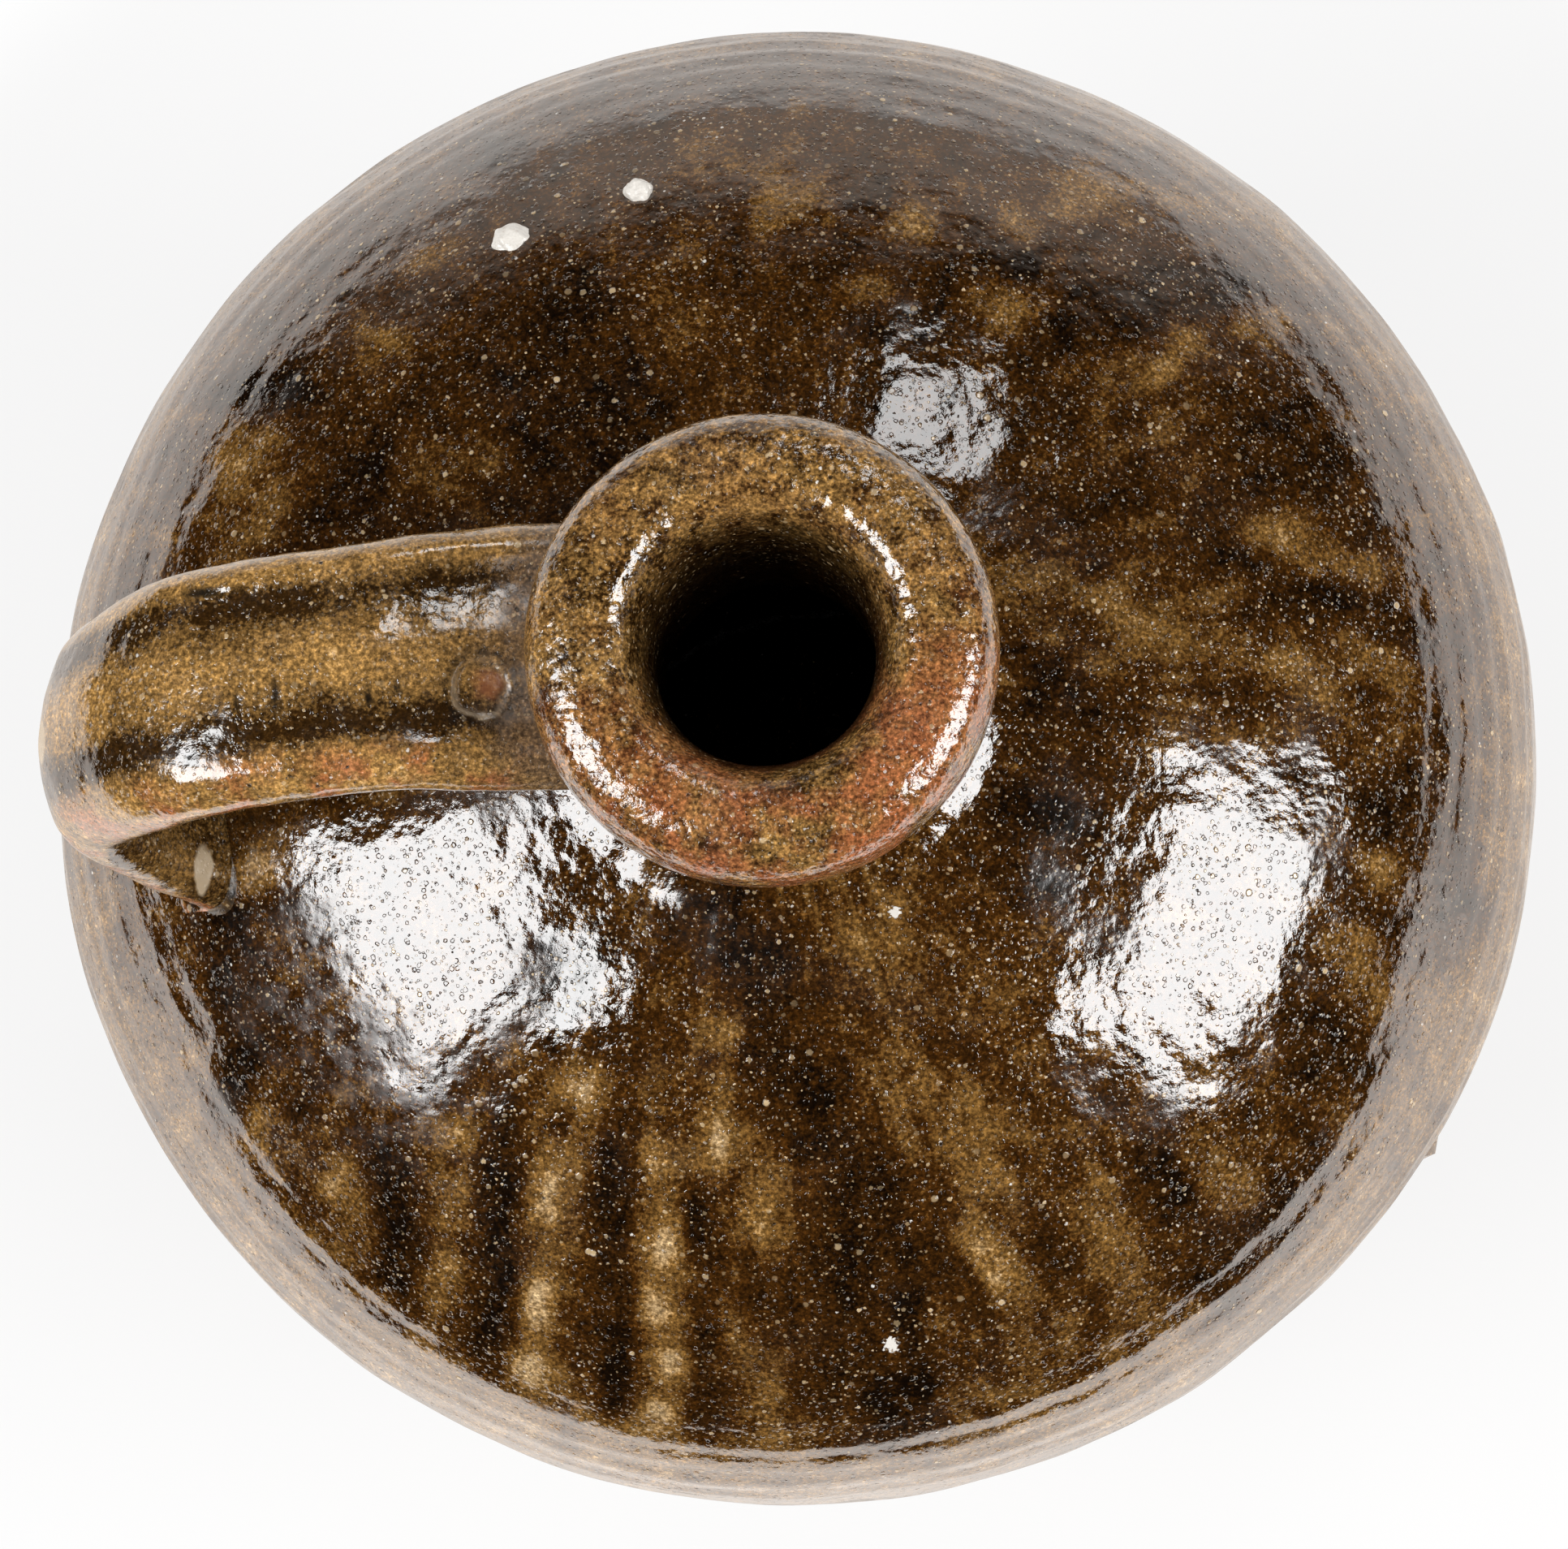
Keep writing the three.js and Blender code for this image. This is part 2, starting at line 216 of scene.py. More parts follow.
class JugSizes(bpy.types.PropertyGroup):
    """Sizes of the thrown body, all on the bare clay"""

    foot_radius: length_property("Foot radius", "Radius of the foot", 62 * MM)
    foot_bevel: length_property("Foot bevel", "Bevel at the edge of the foot", 2.5 * MM)
    foot_lean: length_property("Foot lean", "How far the wall leans out in its first rise", 14 * MM)
    foot_rise: length_property("Foot rise", "Height over which the wall leans out", 48 * MM)
    belly_radius: length_property("Belly radius", "Radius of the widest turn", CLAY_BOX[1].x)
    belly_height: length_property("Belly height", "Height of the widest turn", 156 * MM)
    belly_rise: length_property("Belly rise", "Nearly upright wall below the widest turn", 56 * MM)
    shoulder_rise: length_property("Shoulder rise", "Half height of the shoulder's ellipse", 66 * MM)
    wall: length_property("Wall", "Thickness of the wall", 7 * MM)
    floor: length_property("Floor", "Thickness of the floor", 9 * MM)
    neck_radius: length_property("Neck radius", "Outer radius of the neck", 21.5 * MM)
    neck_sweep: length_property("Neck sweep", "Hollow curve from shoulder to neck", 10 * MM)
    lip_radius: length_property("Lip radius", "Outer radius of the rolled lip", 28.3 * MM)
    lip_roll: length_property("Lip roll", "Radius of the lip's round section", 8.2 * MM)
    throat_radius: length_property("Throat radius", "Radius of the narrow of the throat", 14 * MM)
    throat_depth: length_property("Throat depth", "From the lip's middle to the throat", 12 * MM)


class GlazeSizes(bpy.types.PropertyGroup):
    """Sizes of the glaze coats"""

    cover: length_property("Cover", "Mean height of the glaze over the clay", 0.2 * MM)
    depth: length_property("Depth", "How far the coat reaches in under its face", 1.2 * MM)
    line: length_property("Glaze line", "Mean height where the glaze stops", 24 * MM)
    drips: length_property("Drips", "Reach of the runs above and below the line", 7 * MM)
    rings: length_property("Rings", "Height of the throwing rings", 0.16 * MM)
    ring_pitch: length_property("Ring pitch", "Distance between throwing rings", 7.5 * MM)
    lumps: length_property("Lumps", "Height of the broad unevenness", 0.3 * MM)
    turns: IntProperty(name="Turns", description="Facets round the body", default=400, min=48)


class StrapSizes(bpy.types.PropertyGroup):
    """Sizes of the strap handle over its glaze"""

    thickness: length_property("Thickness", "Thickness of the strap", 11.2 * MM)
    crown: length_property("Crown", "How far the edges lie back round the bend", 3 * MM)
    lean: length_property("Lean", "Sideways drift from neck to lower end", 7 * MM)
    root_width: length_property("Root width", "Width at the neck", 33.2 * MM)
    arch_width: length_property("Arch width", "Width at the top of the arch", 30.7 * MM)
    bend_width: length_property("Bend width", "Width at the outer bend", 28.2 * MM)
    landing_width: length_property("Landing width", "Width at the lower end", 36.2 * MM)
    root_drop: length_property("Root drop", "From the lip's underside to the strap's root", 8.5 * MM)
    arch_rise: length_property("Arch rise", "Rise of the arch above the root", 7 * MM)
    bend_inset: length_property("Bend inset", "From the belly's radius in to the outer bend", 12 * MM)
    landing_inset: length_property("Landing inset", "From the belly's radius in to the lower end", 24.5 * MM)


class JugColours(bpy.types.PropertyGroup):
    """Colours of the fired clay, the glaze and the quartz"""

    glaze_dark: colour_property("Dark glaze", "Where the glaze pools thick", (0.007, 0.0028, 0.0007))
    glaze_mid: colour_property("Mid glaze", "The glaze's common brown", (0.056, 0.0198, 0.0026))
    glaze_light: colour_property("Light glaze", "Where the glaze runs thin", (0.26, 0.135, 0.034))
    speck: colour_property("Specks", "Fine specks of sand in the glaze", (0.62, 0.45, 0.25))
    lip_light: colour_property("Lip glaze", "Thin olive glaze on lip and handle", (0.4, 0.218, 0.064))
    lip_dark: colour_property("Lip shade", "Brown in the hollows of lip and handle", (0.035, 0.015, 0.003))
    rust: colour_property("Rust", "Iron red that breaks through thin glaze", (0.34, 0.108, 0.04))
    clay: colour_property("Clay", "Bare fired clay at the foot", (0.33, 0.225, 0.14))
    slip: colour_property("Slip", "Dull slip at the handle's joints", (0.085, 0.04, 0.013))
    quartz: colour_property("Quartz", "White kiln quartz", (0.78, 0.74, 0.68))


class StageLook(bpy.types.PropertyGroup):
    """Floor, lamps and camera"""

    floor_colour: colour_property("Floor", "Pale floor under the jug", (0.93, 0.93, 0.93))
    mirrored: colour_property("Mirrored floor", "Warm tint of the floor in the glaze", (1, 0.92, 0.85))
    key_radiance: number_property("Key lamps", "Brightness of the two key lamps", 7.0)
    fill_radiance: number_property("Fill lamp", "Brightness of the small fill lamp", 3.9)
    lens: number_property("Lens", "Focal length in millimetres", 153.6)


# Small tools


def clear_selection():
    if bpy.context.mode != "OBJECT":
        bpy.ops.object.mode_set(mode="OBJECT")
    bpy.ops.object.select_all(action="DESELECT")


def points_of(piece, what="co"):
    """The piece's points, or their normals."""
    flat = np.empty(len(piece.data.vertices) * 3, np.float32)
    piece.data.vertices.foreach_get(what, flat)
    return flat.reshape(-1, 3).astype(float)


def set_points(piece, points):
    piece.data.vertices.foreach_set("co", points.astype(np.float32).ravel())
    piece.data.update()


def set_attribute(piece, name, values):
    attribute = piece.data.attributes.get(name) or piece.data.attributes.new(name, "FLOAT", "POINT")
    attribute.data.foreach_set("value", values.astype(np.float32))


def lumps_at(points, size, shift=0.0):
    """Smooth noise from about -1 to 1 at each point, with lumps of the given size."""
    offset = Vector((shift, shift * 1.7, shift * 0.6))
    return np.array([noise.noise(Vector(point) / size + offset) for point in points])


def plan_point(bearing, out):
    """A place seen from above, from its bearing in degrees and its distance out."""
    turn = math.radians(bearing)
    return out * np.array((math.cos(turn), math.sin(turn)))


def smooth_step(low, high, values):
    share = np.clip((values - low) / (high - low), 0, 1)
    return share * share * (3 - 2 * share)


def finish_mesh(piece, angle=60):
    """Merges doubles, turns every face outwards and shades the piece smooth."""
    bpy.ops.object.mode_set(mode="EDIT")
    bpy.ops.mesh.select_all(action="SELECT")
    bpy.ops.mesh.remove_doubles(threshold=0.001 * MM)
    bpy.ops.mesh.normals_make_consistent(inside=False)
    bpy.ops.object.mode_set(mode="OBJECT")
    bpy.ops.object.shade_smooth_by_angle(angle=math.radians(angle))


def apply_modifier(piece, kind, **settings):
    modifier = piece.modifiers.new(kind.title(), kind)
    for name, value in settings.items():
        setattr(modifier, name, value)
    bpy.ops.object.modifier_apply(modifier=modifier.name)


def hand_over(piece, material, slot, *nodes):
    """Gives a finished piece its material and ties it to the frame."""
    piece.data.materials.clear()
    piece.data.materials.append(material)
    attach(piece, "root")
    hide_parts(*nodes)


# Outline of the thrown body


def at(radius, height):
    return np.array((radius, height), float)


def bezier(controls, count, skip_first=True):
    """Points along a Bezier curve of any order, by dividing the lines between its controls."""
    points = []
    for step in range(1 if skip_first else 0, count + 1):
        share = step / count
        level = [np.array(control, float) for control in controls]
        while len(level) > 1:
            level = [a + (b - a) * share for a, b in zip(level, level[1:])]
        points.append(level[0])
    return points


def wall_points(s, inset, bottom, count):
    return bezier(
        [
            at(s.foot_radius - inset, bottom),
            at(s.foot_radius + s.foot_lean - inset, bottom + s.foot_rise),
            at(s.belly_radius - inset, s.belly_height - s.belly_rise),
            at(s.belly_radius - inset, s.belly_height),
        ],
        count,
        skip_first=False,
    )


def shoulder_height(s, radius, inset=0.0):
    share = radius / (s.belly_radius - inset)
    return s.belly_height + (s.shoulder_rise - inset) * math.sqrt(1 - share * share)


def shoulder_points(s, inset, end_radius, count):
    last = math.acos(end_radius / (s.belly_radius - inset))
    turns = [last * (step + 1) / count for step in range(count)]
    across, up = s.belly_radius - inset, s.shoulder_rise - inset
    return [at(across * math.cos(turn), s.belly_height + up * math.sin(turn)) for turn in turns]


def neck_sweep(s, inset, radius, size, count):
    """The hollow curve between the shoulder and an upright neck of the given radius."""
    start = at(radius + size, shoulder_height(s, radius + size, inset))
    nearer = at(radius + size / 2, shoulder_height(s, radius + size / 2, inset))
    corner = at(radius, start[1] + 2 * (nearer[1] - start[1]))
    return bezier([start, corner, at(radius, corner[1] + size)], count)


def lip_middle(s):
    return at(s.lip_radius - s.lip_roll, CLAY_BOX[1].z - s.lip_roll)


def fuller(share):
    """A sine or cosine moved towards 1, which squares a round section."""
    return math.copysign(abs(share) ** LIP_FULLNESS, share)


def outer_outline(s):
    """The outside from the foot's bevel over the lip to the narrow of the throat."""
    middle = lip_middle(s)
    under = math.acos((s.neck_radius - middle[0]) / s.lip_roll)
    count = 28
    turns = [-under + (math.pi / 2 + under) * step / count for step in range(count + 1)]
    lip = [middle + s.lip_roll * at(fuller(math.cos(turn)), fuller(math.sin(turn))) for turn in turns]
    crest = lip[-1]
    narrow = at(s.throat_radius, middle[1] - s.throat_depth)
    funnel = bezier([crest, at(s.throat_radius, crest[1]), narrow], 16)
    return [
        *wall_points(s, 0, s.foot_bevel, WALL_STEPS),
        *shoulder_points(s, 0, s.neck_radius + s.neck_sweep, 52),
        *neck_sweep(s, 0, s.neck_radius, s.neck_sweep, 12),
        *lip,
        *funnel,
    ]


def inner_outline(s):
    """The inside from the middle of the floor up to the narrow of the throat."""
    corner_round = 12 * MM
    wall = wall_points(s, s.wall, s.floor + corner_round, 24)
    foot = wall[0]
    corner = [at(foot[0] - corner_round, s.floor), at(foot[0] - corner_round * 0.3, s.floor), foot]
    throat = at(s.throat_radius, lip_middle(s)[1] - s.throat_depth)
    return [
        at(0, s.floor),
        *bezier(corner, 6, skip_first=False),
        *wall[1:],
        *shoulder_points(s, s.wall, s.throat_radius + s.neck_sweep / 2, 24),
        *neck_sweep(s, s.wall, s.throat_radius, s.neck_sweep / 2, 6),
        throat,
    ]


def offset_outline(points, distance):
    """Moves an outline to its right by a distance, along the mean normal at each point."""
    points = np.array(points)
    along = np.diff(points, axis=0)
    along /= np.linalg.norm(along, axis=1)[:, None]
    normals = np.stack([along[:, 1], -along[:, 0]], axis=1)
    means = np.concatenate([normals[:1], normals[:-1] + normals[1:], normals[-1:]])
    means /= np.linalg.norm(means, axis=1)[:, None]
    return [point + mean * distance for point, mean in zip(points, means)]


def draw_outline(name, points, closed):
    """Draws a chain of edges through points in the XZ plane by extruding one vertex."""
    clear_selection()
    bpy.ops.mesh.primitive_plane_add(size=MM, enter_editmode=True)
    piece = bpy.context.object
    piece.name = piece.data.name = name
    bpy.ops.mesh.merge(type="CENTER")
    bpy.ops.transform.translate(value=(points[0][0], 0, points[0][1]))
    for start, end in zip(points, points[1:]):
        step = (end[0] - start[0], 0, end[1] - start[1])
        bpy.ops.mesh.extrude_vertices_move(TRANSFORM_OT_translate={"value": step})
    if closed:
        ends = bmesh.from_edit_mesh(piece.data)
        ends.verts.ensure_lookup_table()
        for vertex in ends.verts:
            vertex.select_set(vertex.index in (0, len(points) - 1))
        ends.select_flush_mode()
        bpy.ops.mesh.edge_face_add()
    bpy.ops.mesh.select_all(action="SELECT")
    return piece


def turn_outline(name, points, turns, closed=False):
    """Turns an outline of (radius, height) points about the jug's axis."""
    piece = draw_outline(name, points, closed)
    bpy.ops.mesh.spin(steps=turns, angle=2 * math.pi, center=(0, 0, 0), axis=(0, 0, 1))
    finish_mesh(piece)
    return piece


def set_ring(piece, order, ring):
    mesh = bmesh.from_edit_mesh(piece.data)
    mesh.verts.ensure_lookup_table()
    for index, point in zip(order, ring):
        mesh.verts[index].co = point
    bmesh.update_edit_mesh(piece.data)


def loft(name, rings):
    """Extrudes a ring of edges from station to station and sets each new ring in its place."""
    clear_selection()
    count = len(rings[0])
    bpy.ops.mesh.primitive_circle_add(vertices=count, radius=MM, fill_type="NOTHING", enter_editmode=True)
    piece = bpy.context.object
    piece.name = piece.data.name = name
    order = list(range(count))
    set_ring(piece, order, rings[0])
    for ring in rings[1:]:
        bpy.ops.mesh.select_all(action="DESELECT")
        mesh = bmesh.from_edit_mesh(piece.data)
        mesh.verts.ensure_lookup_table()
        for index in order:
            mesh.verts[index].select_set(True)
        mesh.select_flush(True)
        bpy.ops.mesh.extrude_edges_move()
        mesh = bmesh.from_edit_mesh(piece.data)
        mesh.verts.ensure_lookup_table()
        mesh.verts.index_update()
        pairs = {}
        for vertex in mesh.verts:
            if vertex.select:
                old = [edge.other_vert(vertex) for edge in vertex.link_edges]
                pairs[next(other.index for other in old if not other.select)] = vertex.index
        order = [pairs[index] for index in order]
        set_ring(piece, order, ring)
    bpy.ops.object.mode_set(mode="OBJECT")
    return piece


# Strap's centre line and section


def strap_stations(s, t):
    """Places of the strap's centre line with its width there."""
    root_up = lip_middle(s)[1] - s.lip_roll - t.root_drop
    arch = t.arch_rise
    landing = s.belly_radius - t.landing_inset
    land_up = shoulder_height(s, landing)
    bend = s.belly_radius - t.bend_inset
    bend_up = land_up + (root_up + arch - land_up) * 0.48
    span = bend - s.neck_radius
    rows = (
        (s.neck_radius * 0.25, root_up, -0.2, t.root_width),
        (s.neck_radius + span * 0.12, root_up + arch * 0.4, -0.2, t.root_width),
        (s.neck_radius + span * 0.46, root_up + arch, 0.1, t.arch_width),
        (s.neck_radius + span * 0.8, root_up + arch * 0.3, 0.53, t.arch_width),
        (bend, bend_up, 0.86, t.bend_width),
        (landing + (bend - landing) * 0.6, land_up + s.wall, 0.97, t.landing_width * 0.9),
        (landing, land_up - s.wall / 2, 1.0, t.landing_width),
    )
    return [(Vector((-out, -t.lean * lean, up)), width) for out, up, lean, width in rows]


def spline(points, share):
    """Point of a centripetal curve through the given ones."""
    position = share * (len(points) - 1)
    first = min(int(position), len(points) - 2)
    w = position - first
    b, c = points[first], points[first + 1]
    a = points[first - 1] if first > 0 else 2 * b - c
    d = points[first + 2] if first + 2 < len(points) else 2 * c - b
    ab, bc, cd = ((q - p).length ** 0.5 for p, q in ((a, b), (b, c), (c, d)))
    start = ((b - a) / ab - (c - a) / (ab + bc) + (c - b) / bc) * bc
    end = ((c - b) / bc - (d - b) / (bc + cd) + (d - c) / cd) * bc
    return (
        b * (2 * w**3 - 3 * w**2 + 1)
        + start * (w**3 - 2 * w**2 + w)
        + c * (3 * w**2 - 2 * w**3)
        + end * (w**3 - w**2)
    )


def strap_frame(stations, share):
    """Centre, direction across, direction outwards and width of the strap at a share of its length."""
    places = [place for place, width in stations]
    centre = spline(places, share)
    along = spline(places, min(share + 0.001, 1)) - spline(places, max(share - 0.001, 0))
    outward = along.cross(Vector((0, -1, 0))).normalized()
    across = outward.cross(along).normalized()
    widths = [width for place, width in stations]
    width = np.interp(share * (len(widths) - 1), range(len(widths)), widths)
    return centre, across, outward, float(width)


def groove_depth(across, share):
    """Depth of the finger grooves, which fade from their own share of the length on."""
    depth = 0.0
    for middle, deep, north, south, last in GROOVES:
        fade = 1 - 0.8 * float(smooth_step(last - 0.08, last + 0.12, share))
        wide = north if across < middle else south
        depth += fade * deep * math.exp(-(((across - middle) / wide) ** 2))
    return depth


def groove_pool_and_shade(across):
    """How thick the glaze lies in the grooves, with painted shade there, from 0 to 1."""
    pools = []
    for middle, _, north, south, _ in GROOVES:
        side = (across - middle) / (north if across < middle else south)
        pools.append(math.exp(-1.6 * side**2))
    return max(pools)


def strap_corner(corner):
    """Place of a section's corner across the strap, from -1 to 1, and whether its face is the outer one."""
    half = CORNERS // 2
    outer = corner >= half
    across = -math.cos(math.pi * corner / half)
    return across, outer


def strap_point(t, stations, share, corner):
    """Point of a line along the strap at a share of the strap's length."""
    centre, sideways, outward, width = strap_frame(stations, share)
    across, outer = strap_corner(corner)
    edge = math.sqrt(max(1 - abs(across) ** 5, 0))
    crown = t.crown * across**2 * float(smooth_step(0.4, 0.62, share))
    up = t.thickness / 2 - groove_depth(across, share) if outer else -t.thickness / 2
    return centre + sideways * (across * width / 2) + outward * (up * edge - crown)


def body_radius(s):
    """Outer radius of the body at any height, as a function."""
    outline = np.array(outer_outline(s))
    rising = outline[: int(np.argmax(outline[:, 1])) + 1]
    return lambda height: float(np.interp(height, rising[:, 1], rising[:, 0]))


def strap_ends(s, t, stations):
    """Shares of the length at which each line along the strap leaves the neck and enters the shoulder."""
    radius = body_radius(s)

    def meeting(corner, inside, outside):
        for _ in range(22):
            share = (inside + outside) / 2
            point = strap_point(t, stations, share, corner)
            if math.hypot(point.x, point.y) < radius(point.z):
                inside = share
            else:
                outside = share
        return share

    return [(meeting(corner, 0.0, 0.42), meeting(corner, 1.0, 0.66)) for corner in range(CORNERS)]


# Materials


class Shade:
    """A socket of a material that takes part in arithmetic."""

    def __init__(self, finish, socket):
        self.finish = finish
        self.socket = socket

    def math(self, operation, first, second):
        return self.finish.node("ShaderNodeMath", {"operation": operation}, {0: first, 1: second})

    def __add__(self, other):
        return self.math("ADD", self, other)

    def __radd__(self, other):
        return self.math("ADD", other, self)

    def __sub__(self, other):
        return self.math("SUBTRACT", self, other)

    def __rsub__(self, other):
        return self.math("SUBTRACT", other, self)

    def __mul__(self, other):
        return self.math("MULTIPLY", self, other)

    def __rmul__(self, other):
        return self.math("MULTIPLY", other, self)

    def __truediv__(self, other):
        return self.math("DIVIDE", self, other)

    def __pow__(self, other):
        return self.math("POWER", self, other)

    def __gt__(self, other):
        return self.math("GREATER_THAN", self, other)

    def clamp(self):
        return self.ramp(0, 1, "LINEAR")

    def ramp(self, low, high, kind="SMOOTHSTEP"):
        """From 0 at low to 1 at high."""
        settings = {"interpolation_type": kind, "clamp": True}
        sockets = {"Value": self, "From Min": low, "From Max": high}
        return self.finish.node("ShaderNodeMapRange", settings, sockets)

    def part(self, name):
        """Another output of the same node."""
        return Shade(self.finish, self.socket.node.outputs[name])


class Finish:
    """A material or a background under construction."""

    def __init__(self, owner):
        self.material = bpy.data.materials.new(owner) if isinstance(owner, str) else owner
        self.material.use_nodes = True
        self.tree = self.material.node_tree
        self.tree.nodes.clear()

    def node(self, kind, settings=None, sockets=None, output=0):
        """Makes any node: its settings come first, then the values or links of its sockets."""
        made = self.tree.nodes.new(kind)
        for name, value in (settings or {}).items():
            setattr(made, name, value)
        for name, value in (sockets or {}).items():
            socket = made.inputs[name]
            if isinstance(value, Shade):
                self.tree.links.new(value.socket, socket)
            else:
                socket.default_value = value
        return Shade(self, made.outputs[output]) if made.outputs else None

    def vector_math(self, operation, sockets):
        return self.node("ShaderNodeVectorMath", {"operation": operation}, sockets)

    def place(self):
        """Object coordinates in millimetres."""
        place = self.node("ShaderNodeTexCoord", output="Object")
        return self.vector_math("SCALE", {0: place, "Scale": 1 / MM})

    def parts(self, vector):
        x = self.node("ShaderNodeSeparateXYZ", sockets={0: vector})
        return x, x.part("Y"), x.part("Z")

    def vector(self, x, y, z):
        return self.node("ShaderNodeCombineXYZ", sockets={0: x, 1: y, 2: z})

    def reach(self, x, y):
        """Distance on the plan from the turning axis, or from a point by which x and y are moved."""
        return self.vector_math("LENGTH", {0: self.vector(x, y, 0.0)}).part("Value")

    def noise(self, vector, scale, detail=2.0, roughness=0.5):
        sockets = {"Vector": vector, "Scale": scale, "Detail": detail, "Roughness": roughness}
        return self.node("ShaderNodeTexNoise", sockets=sockets)

    def attribute(self, name):
        return self.node("ShaderNodeAttribute", {"attribute_name": name}, output="Fac")

    def mix(self, factor, low, high, blend="MIX"):
        """Mixes two colours. The node's colour sockets are 6 and 7, and its colour output is 2."""
        low, high = (value if isinstance(value, Shade) else (*value, 1) for value in (low, high))
        settings = {"data_type": "RGBA", "blend_type": blend}
        return self.node("ShaderNodeMix", settings, {0: factor, 6: low, 7: high}, output=2)

    def shaken(self, vector, scale, amount):
        """The coordinates with each point pushed about by noise, to make round cells ragged."""
        push = self.noise(vector, scale, 2.0).part("Color")
        offset = self.vector_math("SUBTRACT", {0: push, 1: (0.5, 0.5, 0.5)})
        scaled = self.vector_math("SCALE", {0: offset, "Scale": 2 * amount})
        return self.vector_math("ADD", {0: vector, 1: scaled})

    def specks(self, vector, size, share, widest):
        """Specks up to a widest radius in a share of the cells of a size, some fainter than others."""
        cells = self.node("ShaderNodeTexVoronoi", {"feature": "F1"}, {"Vector": vector, "Scale": 1 / size})
        lot = self.node("ShaderNodeSeparateColor", sockets={0: cells.part("Color")})
        width = (lot.part("Green") * 0.8 + 0.2) * (widest / size)
        strength = (lot > 1 - share) * (lot.part("Blue") ** 2.0 * 0.75 + 0.25)
        return (width - cells).ramp(0, width * 0.4) * strength

    def bump(self, height, distance):
        return self.node("ShaderNodeBump", sockets={"Height": height, "Distance": distance, "Strength": 1.0})

    def close(self, colour, roughness, normal, fixed):
        """Joins the pattern to the surface shader, whose constants are set on its own sockets."""
        sockets = {"Base Color": colour, "Roughness": roughness, "Normal": normal, **fixed}
        self.output(self.node("ShaderNodeBsdfPrincipled", sockets=sockets))
        return self.material

    def output(self, shader, kind="ShaderNodeOutputMaterial"):
        self.node(kind, sockets={"Surface": shader})

    def blend(self, factor, low, high):
        """Mixes two shaders."""
        return self.node("ShaderNodeMixShader", sockets={0: factor, 1: low, 2: high})


def sprinkle(f, place, colour, c):
    """Sand and pits in a glaze with white specks that are partly painted glints: the colour with them,
    and how far they stand out in millimetres.
    """
    ragged = f.shaken(place, 2.6, 0.2)
    fine = f.noise(place, 1.7, 2.0, 0.8)
    colour = f.mix(1.0, colour, fine.ramp(0.22, 0.78, "LINEAR") ** 2.0 * 2.1 + 0.38, "MULTIPLY")
    rise = fine * 0.012 + f.specks(ragged, 0.9, 0.85, 0.42) * 0.07
    patchy = f.noise(place, 0.1, 2.0).ramp(0.36, 0.62) * 0.55 + 0.45
    # Cell size, share of the cells, widest radius, colour, and how far it stands out.
    for size, share, widest, tint, high in (
        (0.7, 0.8, 0.24, c.speck, 0.04),
        (1.5, 0.7, 0.4, c.speck, 0.06),
        (3.0, 0.9, 0.6, c.speck, 0.12),
        # White specks of quartz, partly painted glints.
        (1.6, 0.7, 0.28, c.quartz, 0.08),
        (1.1, 0.8, 0.32, PIT_COLOUR, -0.16),
    ):
        specks = f.specks(ragged, size, share, widest) * patchy
        colour = f.mix(specks, colour, tint)
        rise = specks * high + rise
    return colour, rise


